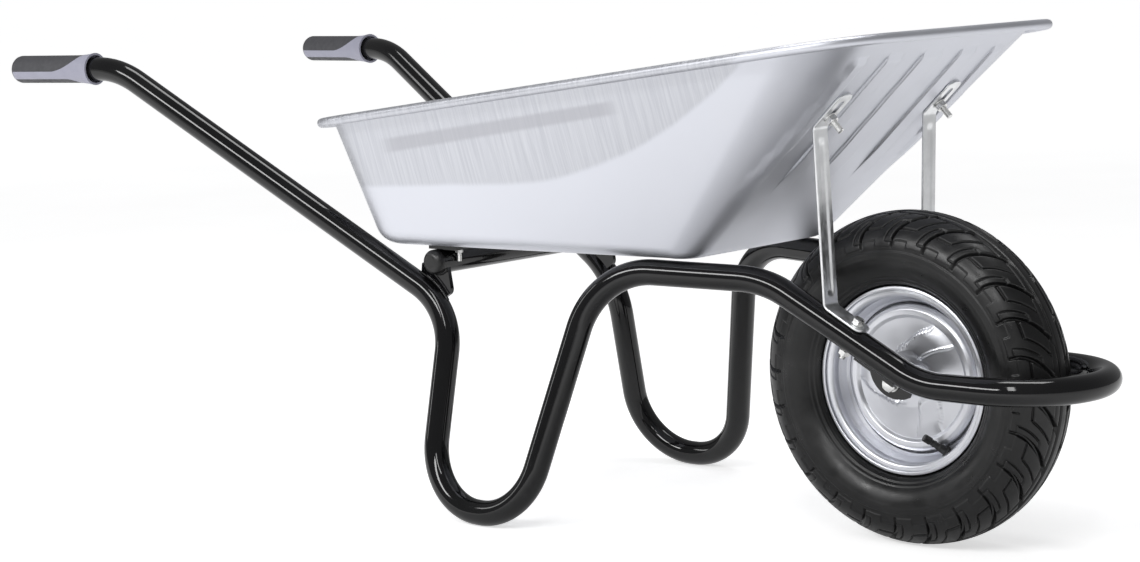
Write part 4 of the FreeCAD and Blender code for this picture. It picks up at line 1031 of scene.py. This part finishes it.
# ---- stage, light and camera
FLOOR_REACH = 30.0
FLOOR_GLOW, FLOOR_GLOW_REACH = (0.74, 0.98), (1.5, 7.0)
# Glow seen in reflections, with painted shade: none at the spot below, full beyond its reach; the spot lies beside
# the tray's right front corner.
SHADED_REFLECTED_GLOW, PAINTED_SHADE_REACH = (0.0, 0.54), (0.2, 0.8)
PAINTED_SHADE_SPOT = (0.45, -0.42, 0.0)
WORLD_GLOW, WORLD_TINT = 0.25, (0.98, 0.985, 1.0)
# name, place, aim, size and power of each lamp
LAMPS = (("key", (1.5, -2.4, 2.4), (0.1, 0.0, 0.3), (0.42, 1.8), 22.0),
         ("strip", (-0.35, -2.9, 1.9), (0.1, 0.0, 0.3), (2.6, 0.50), 56.0),
         ("top", (0.0, 0.3, 3.2), (0.1, 0.0, 0.3), (2.6, 0.8), 44.0),
         ("side", (-2.8, -1.8, 1.2), (0.0, 0.0, 0.3), (0.3, 1.8), 9.0))
AZIMUTH, ELEVATION, ROLL = math.radians(40.24), math.radians(7.57), math.radians(-1.6)
AIM, DISTANCE = Vector((-0.0207, 0.0, 0.2835)), 3.4534
SENSOR, LENS, LENS_SHIFT = 36.0, 82.95, (0.0035, -0.0022)


def stage():
    """Plain pale floor that glows a little; its glow is dimmer in reflections and fades to painted shade at one
    spot beside the tray's right front corner.
    """
    mesh = bpy.data.meshes.new("floor")
    corners = [(x * FLOOR_REACH, y * FLOOR_REACH, 0) for x, y in ((-1, -1), (1, -1), (1, 1), (-1, 1))]
    mesh.from_pydata(corners, [], [(0, 1, 2, 3)])
    floor = bpy.data.objects.new("floor", mesh)
    bpy.context.scene.collection.objects.link(floor)
    look = Look("floor_paper", Roughness=0.85, Specular_IOR_Level=0.2)
    paper = look.mix(look.noise(3.0, 3.0), rgba(0.80, 0.80, 0.80), rgba(0.83, 0.83, 0.83))
    look.set("Base Color", paper)
    distance = look.node("VectorMath", 1, {0: look.coords}, operation="LENGTH")
    look.set("Emission Color", paper)
    seen = look.spread(distance, *FLOOR_GLOW_REACH, *FLOOR_GLOW)
    # Painted shade: the glow seen in reflections fades out towards one spot beside the tray's right front corner.
    from_shade_spot = look.node("VectorMath", 0, {0: look.coords, 1: PAINTED_SHADE_SPOT}, operation="SUBTRACT")
    from_shade_spot = look.node("VectorMath", 1, {0: from_shade_spot}, operation="LENGTH")
    reflected_glow_and_shade = look.spread(from_shade_spot, *PAINTED_SHADE_REACH, *SHADED_REFLECTED_GLOW)
    direct = look.node("LightPath")
    extra = look.math("MULTIPLY", look.math("SUBTRACT", seen, reflected_glow_and_shade), direct)
    look.set("Emission Strength", look.math("ADD", extra, reflected_glow_and_shade))
    mesh.materials.append(look.material)


def area_light(name, place, target, size, power):
    data = bpy.data.lights.new(name, "AREA")
    data.shape = "RECTANGLE"
    data.size, data.size_y = size
    data.energy = power
    light = bpy.data.objects.new(name, data)
    light.location = place
    light.rotation_mode = "QUATERNION"
    light.rotation_quaternion = (Vector(target) - Vector(place)).to_track_quat("-Z", "Y")
    bpy.context.scene.collection.objects.link(light)


def lights():
    """White surroundings where they are seen directly, dimmer in reflections, and four soft lamps."""
    world = bpy.data.worlds.new("studio")
    bpy.context.scene.world = world
    world.use_nodes = True
    tree = world.node_tree
    path = tree.nodes.new("ShaderNodeLightPath")
    strength = tree.nodes.new("ShaderNodeMapRange")
    strength.inputs["To Min"].default_value = WORLD_GLOW
    strength.inputs["To Max"].default_value = 1.0
    tree.links.new(path.outputs["Is Camera Ray"], strength.inputs["Value"])
    tree.links.new(strength.outputs["Result"], tree.nodes["Background"].inputs["Strength"])
    tree.nodes["Background"].inputs["Color"].default_value = rgba(*WORLD_TINT)
    for lamp in LAMPS:
        area_light(*lamp)


def camera():
    """The view: from the right front, a little above the tray."""
    back = Vector((math.sin(AZIMUTH) * math.cos(ELEVATION), -math.cos(AZIMUTH) * math.cos(ELEVATION),
                   math.sin(ELEVATION)))
    right = (-back).cross(Vector((0, 0, 1))).normalized()
    up = right.cross(-back)
    tilted_right = right * math.cos(ROLL) + up * math.sin(ROLL)
    tilted_up = up * math.cos(ROLL) - right * math.sin(ROLL)
    data = bpy.data.cameras.new("camera")
    data.sensor_width = SENSOR
    data.lens = LENS
    data.shift_x, data.shift_y = LENS_SHIFT
    data.clip_end = 100.0
    cam = bpy.data.objects.new("camera", data)
    turn = Matrix((tilted_right, tilted_up, back)).transposed()
    cam.matrix_world = Matrix.Translation(AIM + back * DISTANCE) @ turn.to_4x4()
    bpy.context.scene.collection.objects.link(cam)
    bpy.context.scene.camera = cam


finish_cad_nodes()
tray()
tyre()
for name, side in SIDES:
    wheel_disc(name, side)
frame_tube()
for name, side in SIDES:
    strut(name, side)
strut_fasteners()
axle_fasteners()
valve()
welds()
stage()
lights()
camera()
view = bpy.context.scene.view_settings
view.view_transform = "Standard"
